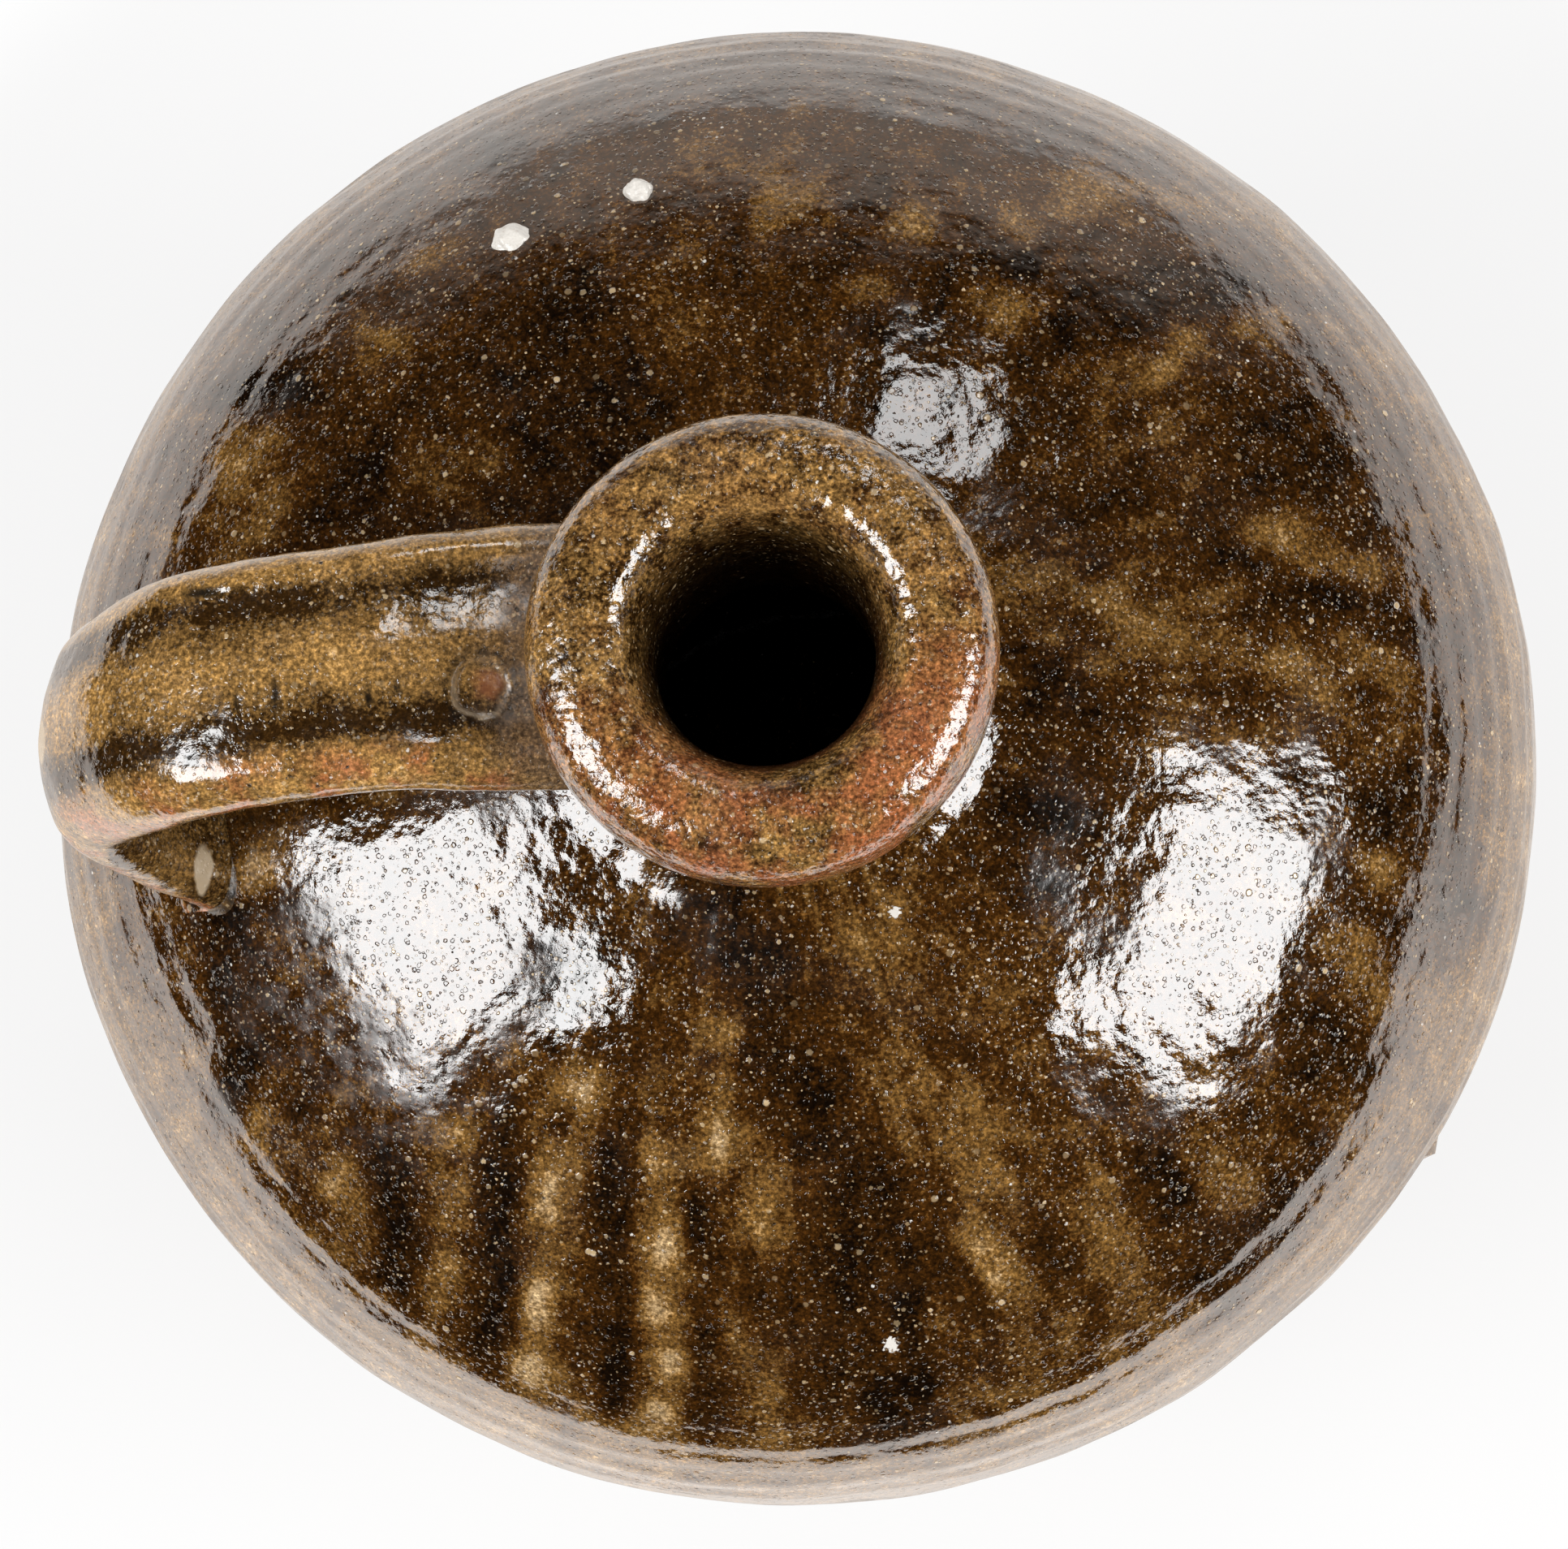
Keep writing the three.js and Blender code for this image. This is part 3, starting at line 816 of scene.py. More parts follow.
def body_glaze(c):
    """Brown glaze that runs down the fall lines of the body, with a thin olive coat on the lip."""
    f = Finish("body_glaze")
    place = f.place()
    x, y, z = f.parts(place)
    out = f.reach(x, y)
    fall = out - z
    drift = f.noise(place, 0.025, 2.0) * 2.0
    runs = f.noise(f.vector(x / out * 9.0 + drift, y / out * 9.0 + drift, fall * 0.022), 1.0, 3.0, 0.55)
    streaks = f.noise(f.vector(x / out * 26.0 + drift, y / out * 26.0 + drift, fall * 0.05), 1.0, 2.0, 0.5)
    mottle = f.noise(place, 0.17, 5.0, 0.7)
    grain = f.noise(place, 1.7, 2.0, 0.6)
    # The tone attribute holds the strokes of thin and thick glaze and the painted reflection at the rim.
    tone = f.attribute("tone") + (runs - 0.5) * 0.8 + (streaks - 0.5) * 0.8 + (mottle - 0.5) * 1.9
    tone = tone + (grain - 0.5) * 0.7
    colour = f.mix(tone.ramp(-0.2, 0.5, "LINEAR"), c.glaze_dark, c.glaze_mid)
    colour = f.mix(tone.ramp(0.45, 1.3, "LINEAR"), colour, c.glaze_light)
    colour = f.mix(tone.ramp(1.1, 2.0, "LINEAR"), colour, c.speck)
    lip = z.ramp(*LIP_GLAZE)
    patches = f.noise(place, 0.3, 5.0, 0.65)
    lip_tone = 0.36 + (patches - 0.5) * 2.8 + (grain - 0.5) * 1.2
    lip_colour = f.mix(lip_tone.ramp(0, 1, "LINEAR"), c.lip_dark, c.lip_light)
    south = (x * 0.3 - y).ramp(-8.0, 26.0)
    rust = f.noise(place, 0.09, 4.0, 0.6).ramp(0.36, 0.6) * (south * 0.9 + 0.1) * (grain + 0.35)
    lip_colour = f.mix(rust.clamp(), lip_colour, c.rust)
    lip_colour = f.mix(lip_tone.ramp(1.0, 1.8, "LINEAR"), lip_colour, c.speck)
    # Painted shade: the funnel is painted dark towards the narrow of the throat, where little light reaches.
    lip_colour = f.mix((1 - out.ramp(13.6, 17.0)) * 0.9, lip_colour, c.glaze_dark)
    colour, rise = sprinkle(f, place, f.mix(lip, colour, lip_colour), c)
    for spot_x, spot_y, radius in PALE_SPOTS:
        away = f.reach(x - spot_x, y - spot_y)
        spot = 1 - (away + (grain - 0.5) * radius * 2.4).ramp(radius * 0.8, radius)
        colour = f.mix(spot * z.ramp(*SHOULDER_STARTS), colour, c.quartz)
        rise = rise + spot * 0.15
    peel = f.noise(place, 0.55, 1.0)
    waves = f.noise(place, 0.16, 1.0)
    height = waves * 0.3 + peel * (lip * 0.26 + 0.09) + grain * (lip * 0.06 + 0.006) + rise
    haze = f.attribute("haze") * patches.ramp(0.35, 0.6)
    rough = 0.05 + f.noise(place, 0.07, 4.0, 0.6).ramp(0.48, 0.68) * 0.12 + haze * 0.24
    return f.close(colour, rough, f.bump(height, MM), GLOSS)


def strap_glaze(c):
    """Thin olive glaze on the strap, pooled brown with painted shade in its grooves, painted darker
    as shade on its inner face, and dull at its root.
    """
    f = Finish("strap_glaze")
    place = f.place()
    across, outer, pool_and_shade = (f.attribute(name) for name in ("across", "outer", "pool_and_shade"))
    bare, dark, stain = (f.attribute(name) for name in ("bare", "dark", "stain"))
    grain = f.noise(place, 1.7, 2.0, 0.6)
    patches = f.noise(place, 0.16, 5.0, 0.65)
    x, y, _ = f.parts(place)
    out = f.reach(x, y)
    root = 1 - (out + (patches - 0.5) * 10.0).ramp(30.0, 38.0)
    grit = (grain - 0.5) * 0.8
    # Painted shade: darker in the grooves, partly pooled glaze, and darker on the inner face under the strap.
    tone = 0.82 + (patches - 0.5) * 1.8 + grit - pool_and_shade * 1.0 - (1 - outer) * 0.6
    colour = f.mix(tone.ramp(0, 1, "LINEAR"), c.lip_dark, c.lip_light)
    colour = f.mix(tone.ramp(1.0, 1.8, "LINEAR"), colour, c.speck)
    edge = across.ramp(0.55, 0.9) * outer
    rust = f.noise(place, 0.13, 4.0, 0.6).ramp(0.45, 0.6) * edge * (grain + 0.3)
    colour = f.mix(rust.clamp(), colour, c.rust)
    dull = f.mix((grit + 0.35).clamp(), c.slip, DULL_COLOUR)
    colour, rise = sprinkle(f, place, f.mix(root * 0.85, colour, dull), c)
    # Bare spots, and the painted highlight on the blister's rim.
    colour = f.mix(bare * 0.9, colour, BARE_AND_HIGHLIGHT_COLOUR)
    colour = f.mix(stain * 0.6, colour, c.rust)
    # Cracks, and the painted shadow ring round the blister.
    colour = f.mix(dark * 0.95, colour, CRACK_AND_SHADOW_COLOUR)
    peel = f.noise(place, 0.55, 1.0)
    waves = f.noise(place, 0.2, 1.0)
    height = waves * 0.25 + peel * 0.12 + grain * 0.02 + rise
    rough = 0.06 + f.noise(place, 0.25, 5.0, 0.65).ramp(0.42, 0.66) * 0.12 + (root + bare) * 0.22
    return f.close(colour, rough, f.bump(height, MM), GLOSS)


def joint_slip(c):
    """Slip at the handle's joints: dull and gritty at the neck, under pooled glaze on the shoulder."""
    f = Finish("joint_slip")
    place = f.place()
    x, y, _ = f.parts(place)
    pooled = f.reach(x, y).ramp(40.0, 60.0)
    patches = f.noise(place, 0.4, 6.0, 0.7)
    grit = (patches - 0.5) * 2.5
    dull = f.mix((grit + 0.35).clamp(), c.slip, DULL_COLOUR)
    glossy = f.mix((grit + 0.2).clamp(), c.glaze_dark, c.glaze_light)
    colour, rise = sprinkle(f, place, f.mix(pooled, dull, glossy), c)
    height = patches * 0.3 + rise
    return f.close(colour, 0.48 - pooled * 0.2, f.bump(height, MM), GLOSS)


def bare_clay(c):
    """Bare fired clay, gritty and flashed darker, with wire marks under the foot."""
    f = Finish("bare_clay")
    place = f.place()
    x, y, z = f.parts(place)
    grain = f.noise(place, 1.1, 5.0, 0.65)
    flash = f.noise(place, 0.035, 3.0, 0.55)
    colour = f.mix(flash.ramp(0.35, 0.7), c.clay, FLASH_COLOUR)
    colour = f.mix((grain - 0.35).ramp(0, 0.5) * 0.45, colour, SAND_COLOUR)
    iron = f.specks(place, 2.4, 0.6, 0.5)
    colour = f.mix(iron * 0.85, colour, IRON_COLOUR)
    sweep = f.reach(x + 70.0, y - 25.0)
    wire = f.noise(f.vector(sweep * 0.55, 0.0, 0.0), 1.0, 2.0, 0.6)
    under = 1 - z.ramp(0.2, 1.5)
    turning = f.noise(f.vector(z * 0.8, 0.0, 0.0), 1.0, 2.0, 0.5) * (1 - under)
    height = grain * 0.5 + wire * under * 2.2 + turning * 0.9 - iron * 0.2
    return f.close(colour, 0.78 + grain * 0.15, f.bump(height, 0.4 * MM), {"IOR": 1.45})


def white_quartz(c):
    """White stone, glassy where the glaze has wetted it."""
    f = Finish("white_quartz")
    place = f.place()
    veins = f.noise(place, 0.9, 4.0, 0.6)
    colour = f.mix(veins.ramp(0.5, 0.75) * 0.5, c.quartz, VEIN_COLOUR)
    tide = f.attribute("tide")
    colour = f.mix(tide * 0.85, colour, c.glaze_dark)
    height = f.noise(place, 1.4, 3.0, 0.6)
    return f.close(colour, 0.3 + veins * 0.2, f.bump(height, 0.25 * MM), {"IOR": 1.54, "Coat Weight": 0.6})


# Pieces


class JUG_OT_clay_body(bpy.types.Operator):
    """Turns the clay body, which shows at the foot and underneath"""

    bl_idname = "jug.clay_body"
    bl_label = "Clay body"

    def execute(self, context):
        s, g, c = context.scene.jug_sizes, context.scene.jug_glaze, context.scene.jug_colours
        outside = outer_outline(s)
        shown = [point for point in outside if point[1] < g.line + 2 * g.drips]
        hidden = offset_outline(outside, -g.depth)[len(shown) + 3 :: 3]
        inner = offset_outline(inner_outline(s), g.depth)[::-1]
        foot = s.foot_radius - s.foot_bevel
        under = [at(foot * share, 0.25 * MM * (1 - share**6)) for share in np.linspace(0, 1, 24)]
        bevel = bezier([at(foot, 0), at(foot + s.foot_bevel * 0.8, 0), shown[0]], 5)[:-1]
        inner[-1] = at(0, inner[-1][1])
        piece = turn_outline("clay_body", [*under, *bevel, *shown, *hidden, *inner], 240)
        self.press(piece, s, g)
        hand_over(piece, bare_clay(c), "clay", "thrown_body")
        return {"FINISHED"}

    def press(self, piece, s, g):
        """Makes the turned wall above the foot uneven, only ever inwards."""
        points = points_of(piece)
        out = np.hypot(points[:, 0], points[:, 1])
        low = 1 - smooth_step(g.line + g.drips, g.line + 2 * g.drips, points[:, 2])
        wall = low * smooth_step(0.5 * MM, 3 * MM, points[:, 2]) * (out > s.foot_radius - 4 * MM)
        inward = 0.25 * MM * (lumps_at(points, 16 * MM) - 1) * wall
        points[:, :2] *= ((out + inward) / np.maximum(out, 1e-6))[:, None]
        set_points(piece, points)


class JUG_OT_outer_coat(bpy.types.Operator):
    """Turns the outer glaze, presses in its rings and lumps and draws its lower edge into drips"""

    bl_idname = "jug.outer_coat"
    bl_label = "Outer glaze"

    def execute(self, context):
        s, g, c = context.scene.jug_sizes, context.scene.jug_glaze, context.scene.jug_colours
        outside = [point for point in outer_outline(s) if point[1] > g.line - g.drips]
        face = offset_outline(outside, g.cover)
        back = offset_outline(outside, g.cover - g.depth)
        # The hidden back has every seventh point up to the neck and every third from there on.
        neck = 124
        coarse = [*back[0:neck:7], *back[neck::3]]
        piece = turn_outline("outer_coat", [*face, *coarse[::-1]], g.turns, closed=True)
        self.shape(piece, s, g)
        hand_over(piece, body_glaze(c), "glaze", "outer_glaze")
        return {"FINISHED"}

    def shape(self, piece, s, g):
        """Moves the shown face by rings, lumps and streaks, and keeps the tone and haze of its glaze."""
        points, normals = points_of(piece), points_of(piece, "normal")
        out = np.hypot(points[:, 0], points[:, 1])
        angle = np.arctan2(points[:, 1], points[:, 0])
        height = points[:, 2]
        fall = out - height
        bare = np.array(outer_outline(s))
        section = np.stack([out, height], 1)
        shown = np.array([np.hypot(*(bare - point).T).min() for point in section]) < 0.55 * MM
        body = 1 - smooth_step(*BODY_ENDS, height / MM)
        round_place = np.stack([np.cos(angle) * 9, np.sin(angle) * 9, fall / (45 * MM)], 1)
        rings = np.sin(2 * math.pi * fall / g.ring_pitch + angle)
        rings *= 0.6 + 0.6 * lumps_at(points, 40 * MM, 3.0)
        rings *= g.rings * body * smooth_step(-150 * MM, -80 * MM, fall)
        rings *= 1 + smooth_step(80 * MM, 95 * MM, out)
        lumps = g.lumps * body * (lumps_at(points, 18 * MM) + 1.6 * lumps_at(points, 38 * MM, 4.0))
        lumps += 0.1 * MM * lumps_at(points, 7 * MM, 5.0)
        lumps += 0.35 * MM * smooth_step(*LIP_SWELLS, height / MM)
        streaks = 0.12 * MM * body * lumps_at(round_place, 1.0, 9.0)
        limit = CAD_BOX[1].x - 0.02 * MM
        points += normals * ((rings + lumps + streaks) * shown)[:, None]
        grown = np.hypot(points[:, 0], points[:, 1])
        points[:, :2] *= np.minimum(1, limit / np.maximum(grown, 1e-6))[:, None]
        away = np.linalg.norm(points / MM - BELLY_CRUMB, axis=1)
        points += normals * (1.4 * MM * np.exp(-((away / 1.3) ** 2)) * shown)[:, None]
        self.drip(points, s, g, angle)
        set_points(piece, points)
        set_attribute(piece, "tone", self.tone(points, angle))
        set_attribute(piece, "haze", self.haze(points))

    def drip(self, points, s, g, angle):
        """Raises the coat's lower edge along the wall, least where a run ends, and rounds it to a bead."""
        band = 3 * g.drips
        bottom = g.line - g.drips
        run = 0.5 + 0.3 * np.cos(5 * angle + 0.6) + 0.17 * np.cos(11 * angle + 2.1)
        rise = np.clip((points[:, 2] - bottom) / band, 0, 1)
        raised = bottom + band * rise + 2 * g.drips * run * (1 - rise)
        moved = np.where(rise < 1, raised, points[:, 2])
        wall = np.array(wall_points(s, 0, s.foot_bevel, WALL_STEPS))
        before = np.interp(points[:, 2], wall[:, 1], wall[:, 0])
        after = np.interp(moved, wall[:, 1], wall[:, 0])
        bead = 0.5 * MM * np.exp(-((rise * band / (2.2 * MM) - 1) ** 2)) * (rise < 1)
        out = np.hypot(points[:, 0], points[:, 1])
        shift = np.where(rise < 1, after - before, 0) + bead * (out - before > -0.4 * MM)
        points[:, :2] *= ((out + shift) / np.maximum(out, 1e-6))[:, None]
        points[:, 2] = moved

    def tone(self, points, angle):
        """How thin the glaze lies in lighter and darker strokes on the shoulder, none below it, a little
        darker towards the north, and a painted reflection: lighter at the rim and on the wall below the
        shoulder.
        """
        warp = np.stack([lumps_at(points, 9 * MM, 11.0), lumps_at(points, 9 * MM, 17.0)], 1)
        plan = points[:, :2] / MM + 1.6 * warp
        beads = lumps_at(points, 6 * MM, 21.0)
        # Painted reflection: the base is lighter at the rim and below the shoulder, to brighten the mirrored
        # floor near the outline.
        rim_sheen = smooth_step(87, 97, np.hypot(plan[:, 0], plan[:, 1]))
        shoulder = smooth_step(140 * MM, 165 * MM, points[:, 2])
        tone = 0.33 - 0.05 * np.sin(angle) + 0.5 * np.maximum(rim_sheen, 1 - shoulder)
        for bearing, near, end_bearing, far, width, change in RUNS:
            start, end = plan_point(bearing, near), plan_point(end_bearing, far)
            along = end - start
            share = np.clip((plan - start) @ along / max(along @ along, 1e-9), 0, 1)
            gap = np.linalg.norm(plan - start - share[:, None] * along, axis=1)
            broken = np.maximum(1.1 + 1.5 * beads, 0) if change > 0 else 1 + 0.5 * beads
            tone += 1.2 * change * np.exp(-((gap / width) ** 2)) * shoulder * broken
        return np.maximum(tone, 0.0)

    def haze(self, points):
        """How dull the glaze is, in round patches on the shoulder."""
        haze = np.zeros(len(points))
        for x, y, radius in DULL_PATCHES:
            haze += np.exp(-((points[:, 0] / MM - x) ** 2 + (points[:, 1] / MM - y) ** 2) / radius**2)
        return haze * smooth_step(*SHOULDER_STARTS, points[:, 2] / MM)


class JUG_OT_liner_coat(bpy.types.Operator):
    """Turns the glaze that lines the inside"""

    bl_idname = "jug.liner_coat"
    bl_label = "Liner glaze"

    def execute(self, context):
        s, g = context.scene.jug_sizes, context.scene.jug_glaze
        wall = inner_outline(s)
        face = offset_outline(wall, -g.cover)
        back = offset_outline(wall, g.cover + 0.4 * MM)
        face[0], back[0] = at(0, face[0][1]), at(0, back[0][1])
        piece = turn_outline("liner_coat", [*face, *back[::-1]], 120)
        set_attribute(piece, "tone", np.full(len(piece.data.vertices), 0.2))
        hand_over(piece, bpy.data.materials["body_glaze"], "glaze", "liner_glaze")
        return {"FINISHED"}


class JUG_OT_strap(bpy.types.Operator):
    """Lofts the glazed strap handle and presses its blister and lumps"""

    bl_idname = "jug.strap"
    bl_label = "Strap handle"

    def execute(self, context):
        s, t, c = context.scene.jug_sizes, context.scene.jug_strap, context.scene.jug_colours
        stations = strap_stations(s, t)
        rings, marks = self.sections(t, stations, strap_ends(s, t, stations))
        piece = loft("strap", rings)
        self.mark(piece, rings, marks)
        finish_mesh(piece)
        apply_modifier(piece, "SUBSURF", levels=2, render_levels=2)
        self.press(piece)
        hand_over(piece, strap_glaze(c), "handle_glaze", "strap_handle", "handle_glaze")
        return {"FINISHED"}

    def sections(self, t, stations, ends):
        """Rings of points from neck to shoulder, folded shut inside both, and the marks of each point."""
        steps = 80
        tuck = 0.008
        rings, marks = [], []
        for step in [0, *range(steps + 1), steps]:
            ring = []
            for corner, (start, end) in enumerate(ends):
                share = start - tuck + (end - start + 2 * tuck) * step / steps
                ring.append(strap_point(t, stations, share, corner))
                across, outer = strap_corner(corner)
                marks.append((across, outer, outer * groove_pool_and_shade(across)))
            rings.append(ring)
        for index in (0, -1):
            rings[index] = [(point + rings[index][-corner]) / 2 for corner, point in enumerate(rings[index])]
        return rings, marks

    def mark(self, piece, rings, marks):
        """Keeps each point's place across the strap, its face, outer or not, and its pool of glaze with
        painted shade in the grooves.
        """
        points = points_of(piece)
        tree = kdtree.KDTree(len(marks))
        for index, point in enumerate(np.array(rings).reshape(-1, 3)):
            tree.insert(point, index)
        tree.balance()
        found = np.array([marks[tree.find(point)[1]] for point in points])
        for column, name in enumerate(("across", "outer", "pool_and_shade")):
            set_attribute(piece, name, found[:, column])

    def press(self, piece):
        """Presses in lumps, a popped blister, cracks, a crumb and bare spots, and keeps where they show,
        with a painted highlight on the lit side of the blister's rim and a painted shadow ring round it.
        """
        points, normals = points_of(piece), points_of(piece, "normal")
        place = points / MM
        rise = 0.3 * lumps_at(points, 9 * MM, 2.0) + 0.12 * lumps_at(points, 3.5 * MM, 7.0)
        ragged = 1 + 0.16 * lumps_at(points, 2.2 * MM, 13.0) + 0.1 * lumps_at(points, 1 * MM, 3.0)
        gap = np.linalg.norm(place - BLISTER, axis=1) * ragged
        core = 1 - smooth_step(1.2, 2.2, np.linalg.norm(place - BLISTER - (1.3, 0.5, 0), axis=1) * ragged**2)
        rise += 0.12 * np.exp(-(((gap - 4.0) / 0.5) ** 2))
        rise += 0.3 * core - 0.4 * (1 - smooth_step(3.2, 3.7, gap))
        # Painted highlight: the pale ring at the blister's rim is bare clay, painted much paler on the side
        # that the lamps light.
        lit = smooth_step(1.0, -3.0, (place - BLISTER)[:, 0] + (place - BLISTER)[:, 1])
        bare = 0.8 * np.exp(-(((gap - 3.5) / 0.3) ** 2)) * (0.15 + 0.85 * lit)
        # Painted shadow: a dark ring just outside the blister.
        dark = 0.6 * np.exp(-(((gap - 4.6) / 0.5) ** 2))
        for x, y, z, length, width in CRACKS:
            away = (place - (x, y, z)) / (width, length, 2.5)
            shade = np.exp(-((np.linalg.norm(away, axis=1) * ragged) ** 4))
            rise -= 0.12 * shade
            dark = np.maximum(dark, shade)
        for x, y, z, length, width in BARE_SPOTS:
            away = np.abs(place - (x, y, z)) / (width, length, length)
            bare = np.maximum(bare, 1 - smooth_step(0.8, 1.05, (away**1.5).sum(axis=1) * ragged))
        rise += 1.8 * np.exp(-((np.linalg.norm(place - CRUMB, axis=1) / 1.5) ** 2))
        set_points(piece, points + normals * (rise * MM)[:, None])
        for name, values in (("bare", bare), ("dark", dark), ("stain", core)):
            set_attribute(piece, name, values)


class JUG_OT_lutes(bpy.types.Operator):
    """Models the slip that joins the strap to the neck and to the shoulder"""

    bl_idname = "jug.lutes"
    bl_label = "Luting"

    def execute(self, context):
        s, t, c = context.scene.jug_sizes, context.scene.jug_strap, context.scene.jug_colours
        slip = joint_slip(c)
        coat = bpy.data.objects["outer_coat"]
        wall = BVHTree.FromObject(coat, context.evaluated_depsgraph_get())
        stations = strap_stations(s, t)
        ends = strap_ends(s, t, stations)
        starts, stops = zip(*ends)
        for name, node, shares, step in (
            ("upper_lute", "upper_luting", starts, 0.01),
            ("lower_lute", "lower_luting", stops, -0.01),
        ):
            piece = self.skirt(name, t, stations, wall, shares, step)
            hand_over(piece, slip, "slip", node)
        return {"FINISHED"}

    def skirt(self, name, t, stations, wall, shares, step):
        """A hollow fillet round the strap where it meets the wall, closed inside both."""
        sunk = 1.5 * MM
        rows = []
        for corner, share in enumerate(shares):
            foot = strap_point(t, stations, share, corner)
            uneven = 1 + 0.7 * noise.noise(foot / (6 * MM))
            climb, spread = 1.1 * MM * uneven, 0.8 * MM * uneven
            ahead = strap_point(t, stations, share + step, corner)
            along = (ahead - foot).normalized()
            high = strap_point(t, stations, share + step * climb / (ahead - foot).length, corner)
            middle = strap_frame(stations, share)[0]
            away = (foot - middle) - along * (foot - middle).dot(along)
            away.normalize()
            low, normal, _, _ = wall.find_nearest(foot + away * spread)
            inside = high - away * sunk
            under = low - normal * sunk
            corner_point = foot + away * 0.2 * MM
            curve = [high - away * 0.2 * MM]
            for part in (0.2, 0.4, 0.6, 0.8):
                rest = 1 - part
                curve.append(high * rest**2 + corner_point * 2 * part * rest + low * part**2)
            rows.append([inside, *curve, low - normal * 0.15 * MM, under, inside])
        piece = loft(name, list(zip(*rows)))
        finish_mesh(piece)
        apply_modifier(piece, "SUBSURF", levels=2, render_levels=2)
        return piece


class JUG_OT_grains(bpy.types.Operator):
    """Models the two grains of quartz that are fused to the shoulder"""

    bl_idname = "jug.grains"
    bl_label = "Quartz grains"

    def execute(self, context):
        stone = white_quartz(context.scene.jug_colours)
        for name, node, seed in (
            ("quartz_large", "quartz_grain_large", 1.0),
            ("quartz_small", "quartz_grain_small", 4.0),
        ):
            piece = self.grain(name, node, seed)
            hand_over(piece, stone, "quartz", node)
        return {"FINISHED"}

    def grain(self, name, node, seed):
        """A lumpy stone that fills its solid's box, dark where the glaze has climbed up it."""
        low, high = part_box(node)
        middle = (low + high) / 2
        clear_selection()
        bpy.ops.mesh.primitive_ico_sphere_add(subdivisions=5, radius=1)
        piece = bpy.context.object
        piece.name = piece.data.name = name
        points = points_of(piece)
        rough = 1 + 0.2 * lumps_at(points, 0.7, seed) + 0.05 * lumps_at(points, 0.25, seed)
        size = (high - low) / 2
        points *= rough[:, None]
        set_attribute(piece, "tide", smooth_step(0.1, -0.25, points[:, 2]))
        points = points * np.array(size) * np.array((1.12, 1.12, 0.98)) + np.array(middle)
        set_points(piece, points)
        finish_mesh(piece)
        return piece


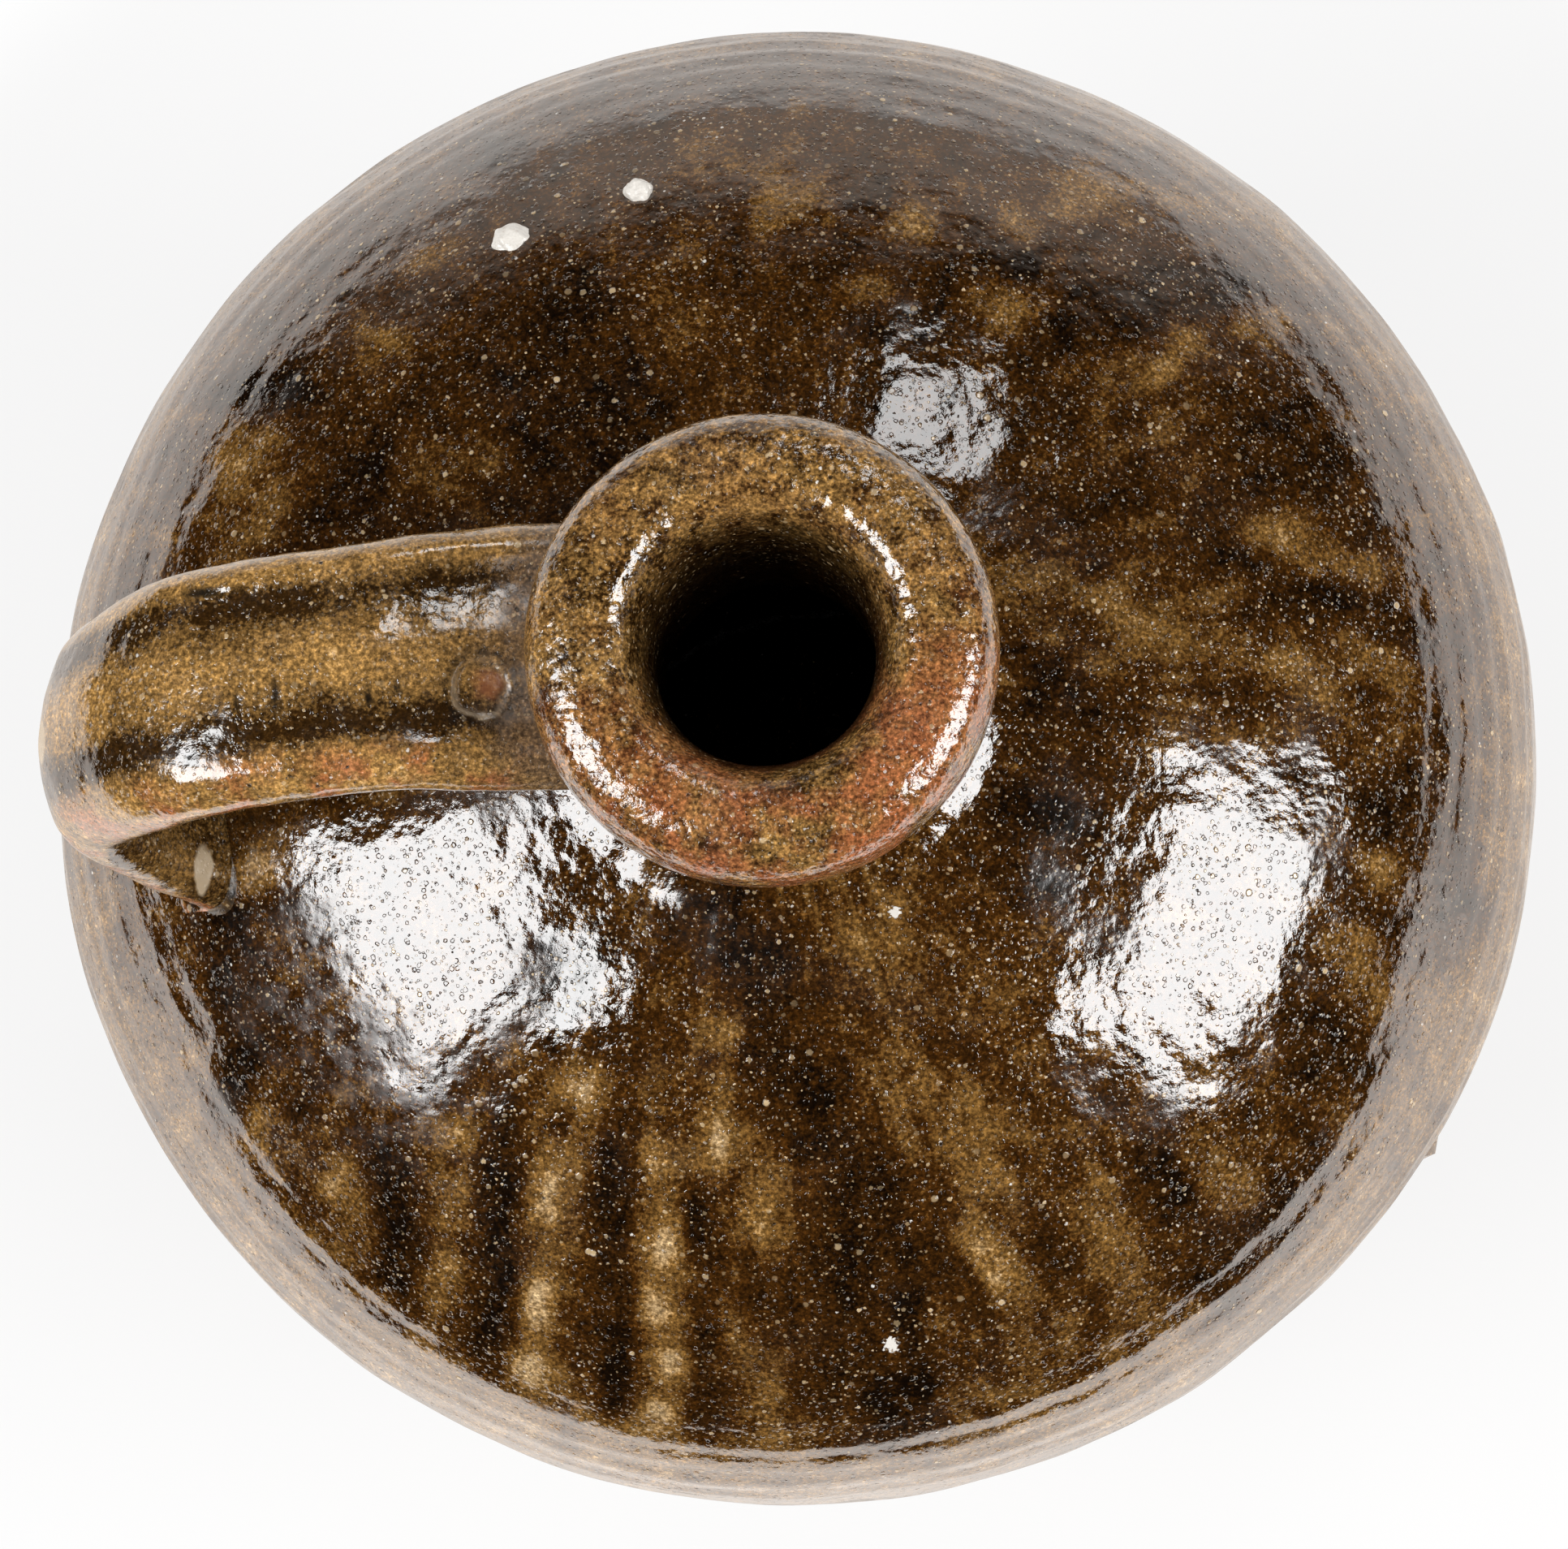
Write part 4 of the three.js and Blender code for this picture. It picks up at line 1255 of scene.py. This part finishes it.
class JUG_OT_stage(bpy.types.Operator):
    """Sets the floor, the lamps, the background and the camera"""

    bl_idname = "jug.stage"
    bl_label = "Stage"

    def execute(self, context):
        look = context.scene.jug_stage
        self.floor(look)
        self.lamp("key_left", -157, 42, 0.55, 0.62, look.key_radiance)
        self.lamp("key_right", -18, 33, 0.62, 0.55, look.key_radiance)
        self.lamp("fill_back", 70, 47, 0.24, 0.27, look.fill_radiance)
        self.background(context.scene)
        self.camera(context.scene, look)
        context.scene.view_settings.view_transform = "Standard"
        return {"FINISHED"}

    def floor(self, look):
        """A pale sheet that keeps the shadow, white to the camera and brighter as the glaze mirrors it."""
        clear_selection()
        bpy.ops.mesh.primitive_plane_add(size=1, location=(0, 0, 0))
        floor = bpy.context.object
        floor.name = "floor"
        floor.scale = (2.5, 1.57, 1)
        floor.location = (0.25, 0.415, 0)
        bpy.ops.object.transform_apply(location=True, rotation=True, scale=True)
        f = Finish("pale_floor")
        diffuse = f.node("ShaderNodeBsdfDiffuse", sockets={"Color": (*look.floor_colour, 1)})
        # In front of the jug and well away from it the mirrored floor is brighter, and far behind it fades.
        x, y, _ = f.parts(f.place())
        beyond = (1 - y.ramp(-170.0, -105.0) + f.reach(x, y).ramp(180.0, 260.0) * 0.42).clamp()
        ray = f.node("ShaderNodeLightPath", output="Is Camera Ray")
        tint = f.mix(ray, look.mirrored, (1, 1, 1))
        white, bright, faint = (
            f.node("ShaderNodeEmission", sockets={"Color": tint, "Strength": strength})
            for strength in (0.94, 2.1, 0.6)
        )
        lit = f.blend(y.ramp(500.0, 1200.0), f.blend(beyond, white, bright), faint)
        seen = (ray + ray.part("Is Glossy Ray") + ray.part("Is Transmission Ray")).clamp()
        f.output(f.blend(seen * 0.7, diffuse, lit))
        floor.data.materials.append(f.material)

    def lamp(self, name, azimuth, elevation, width, height, radiance):
        """A soft rectangle of light that faces the jug from a bearing and a height in degrees."""
        turn, rise = math.radians(azimuth), math.radians(elevation)
        away = Vector((math.cos(turn) * math.cos(rise), math.sin(turn) * math.cos(rise), math.sin(rise)))
        aim, distance = Vector((0, 0, 0.2)), 1.1
        data = bpy.data.lights.new(name, "AREA")
        data.shape = "RECTANGLE"
        data.size, data.size_y = width, height
        data.energy = radiance * math.pi * width * height
        lamp = bpy.data.objects.new(name, data)
        bpy.context.scene.collection.objects.link(lamp)
        lamp.location = aim + away * distance
        lamp.rotation_mode = "QUATERNION"
        lamp.rotation_quaternion = away.to_track_quat("Z", "Y")
        lamp.visible_camera = False

    def background(self, scene):
        """White to the camera, dim to the glaze but for a grey backdrop low in the north."""
        world = bpy.data.worlds.new("white_room")
        scene.world = world
        f = Finish(world)
        _, y, z = f.parts(f.node("ShaderNodeTexCoord", output="Generated"))
        sweep = (1 - z.ramp(0.1, 0.38)) * y.ramp(0.66, 0.98)
        ray = f.node("ShaderNodeLightPath", output="Is Camera Ray")
        white, dim, soft, grey = (
            f.node("ShaderNodeBackground", sockets={"Color": (*colour, 1)})
            for colour in ((1, 1, 1), (0.005, 0.005, 0.005), (0.6, 0.6, 0.6), (0.64, 0.54, 0.46))
        )
        unseen = f.blend(ray.part("Is Glossy Ray"), soft, f.blend(sweep, dim, grey))
        f.output(f.blend(ray, unseen, white), "ShaderNodeOutputWorld")

    def camera(self, scene, look):
        """Looks down on the jug a few degrees off its axis, as the photograph does."""
        data = bpy.data.cameras.new("camera")
        data.lens = look.lens
        data.sensor_width = 36
        data.sensor_fit = "HORIZONTAL"
        data.clip_start, data.clip_end = 0.01, 20
        camera = bpy.data.objects.new("camera", data)
        scene.collection.objects.link(camera)
        scene.camera = camera
        tilt, turn, roll = math.radians(8.4), math.radians(17), math.radians(17)
        back = Vector((math.sin(turn) * math.sin(tilt), -math.cos(turn) * math.sin(tilt), math.cos(tilt)))
        level = Vector((math.cos(turn), math.sin(turn), 0))
        upward = back.cross(level)
        right = math.cos(roll) * level - math.sin(roll) * upward
        up = math.sin(roll) * level + math.cos(roll) * upward
        aim, distance = Vector((0, 0, 162 * MM)) - right * (1.2 * MM) - up * (2.5 * MM), 0.9
        place = Matrix((right, up, back)).transposed().to_4x4()
        place.translation = aim + back * distance
        camera.matrix_world = place


class JUG_PT_panel(bpy.types.Panel):
    """Lists the jug's pieces in the order in which they are made"""

    bl_idname = "JUG_PT_panel"
    bl_label = "Stoneware Jug"
    bl_space_type = "VIEW_3D"
    bl_region_type = "UI"
    bl_category = "Jug"

    def draw(self, context):
        for operator in OPERATORS:
            self.layout.operator(operator.bl_idname)


SETTINGS = {
    "jug_sizes": JugSizes,
    "jug_glaze": GlazeSizes,
    "jug_strap": StrapSizes,
    "jug_colours": JugColours,
    "jug_stage": StageLook,
}
OPERATORS = (
    JUG_OT_clay_body,
    JUG_OT_outer_coat,
    JUG_OT_liner_coat,
    JUG_OT_strap,
    JUG_OT_lutes,
    JUG_OT_grains,
    JUG_OT_stage,
)


def register():
    for kind in (*SETTINGS.values(), *OPERATORS, JUG_PT_panel):
        bpy.utils.register_class(kind)
    for name, kind in SETTINGS.items():
        setattr(bpy.types.Scene, name, PointerProperty(type=kind))


def unregister():
    for name in SETTINGS:
        delattr(bpy.types.Scene, name)
    for kind in reversed((*SETTINGS.values(), *OPERATORS, JUG_PT_panel)):
        bpy.utils.unregister_class(kind)


def main():
    register()
    bpy.ops.jug.clay_body()
    bpy.ops.jug.outer_coat()
    bpy.ops.jug.liner_coat()
    bpy.ops.jug.strap()
    bpy.ops.jug.lutes()
    bpy.ops.jug.grains()
    bpy.ops.jug.stage()


if __name__ == "__main__":
    main()
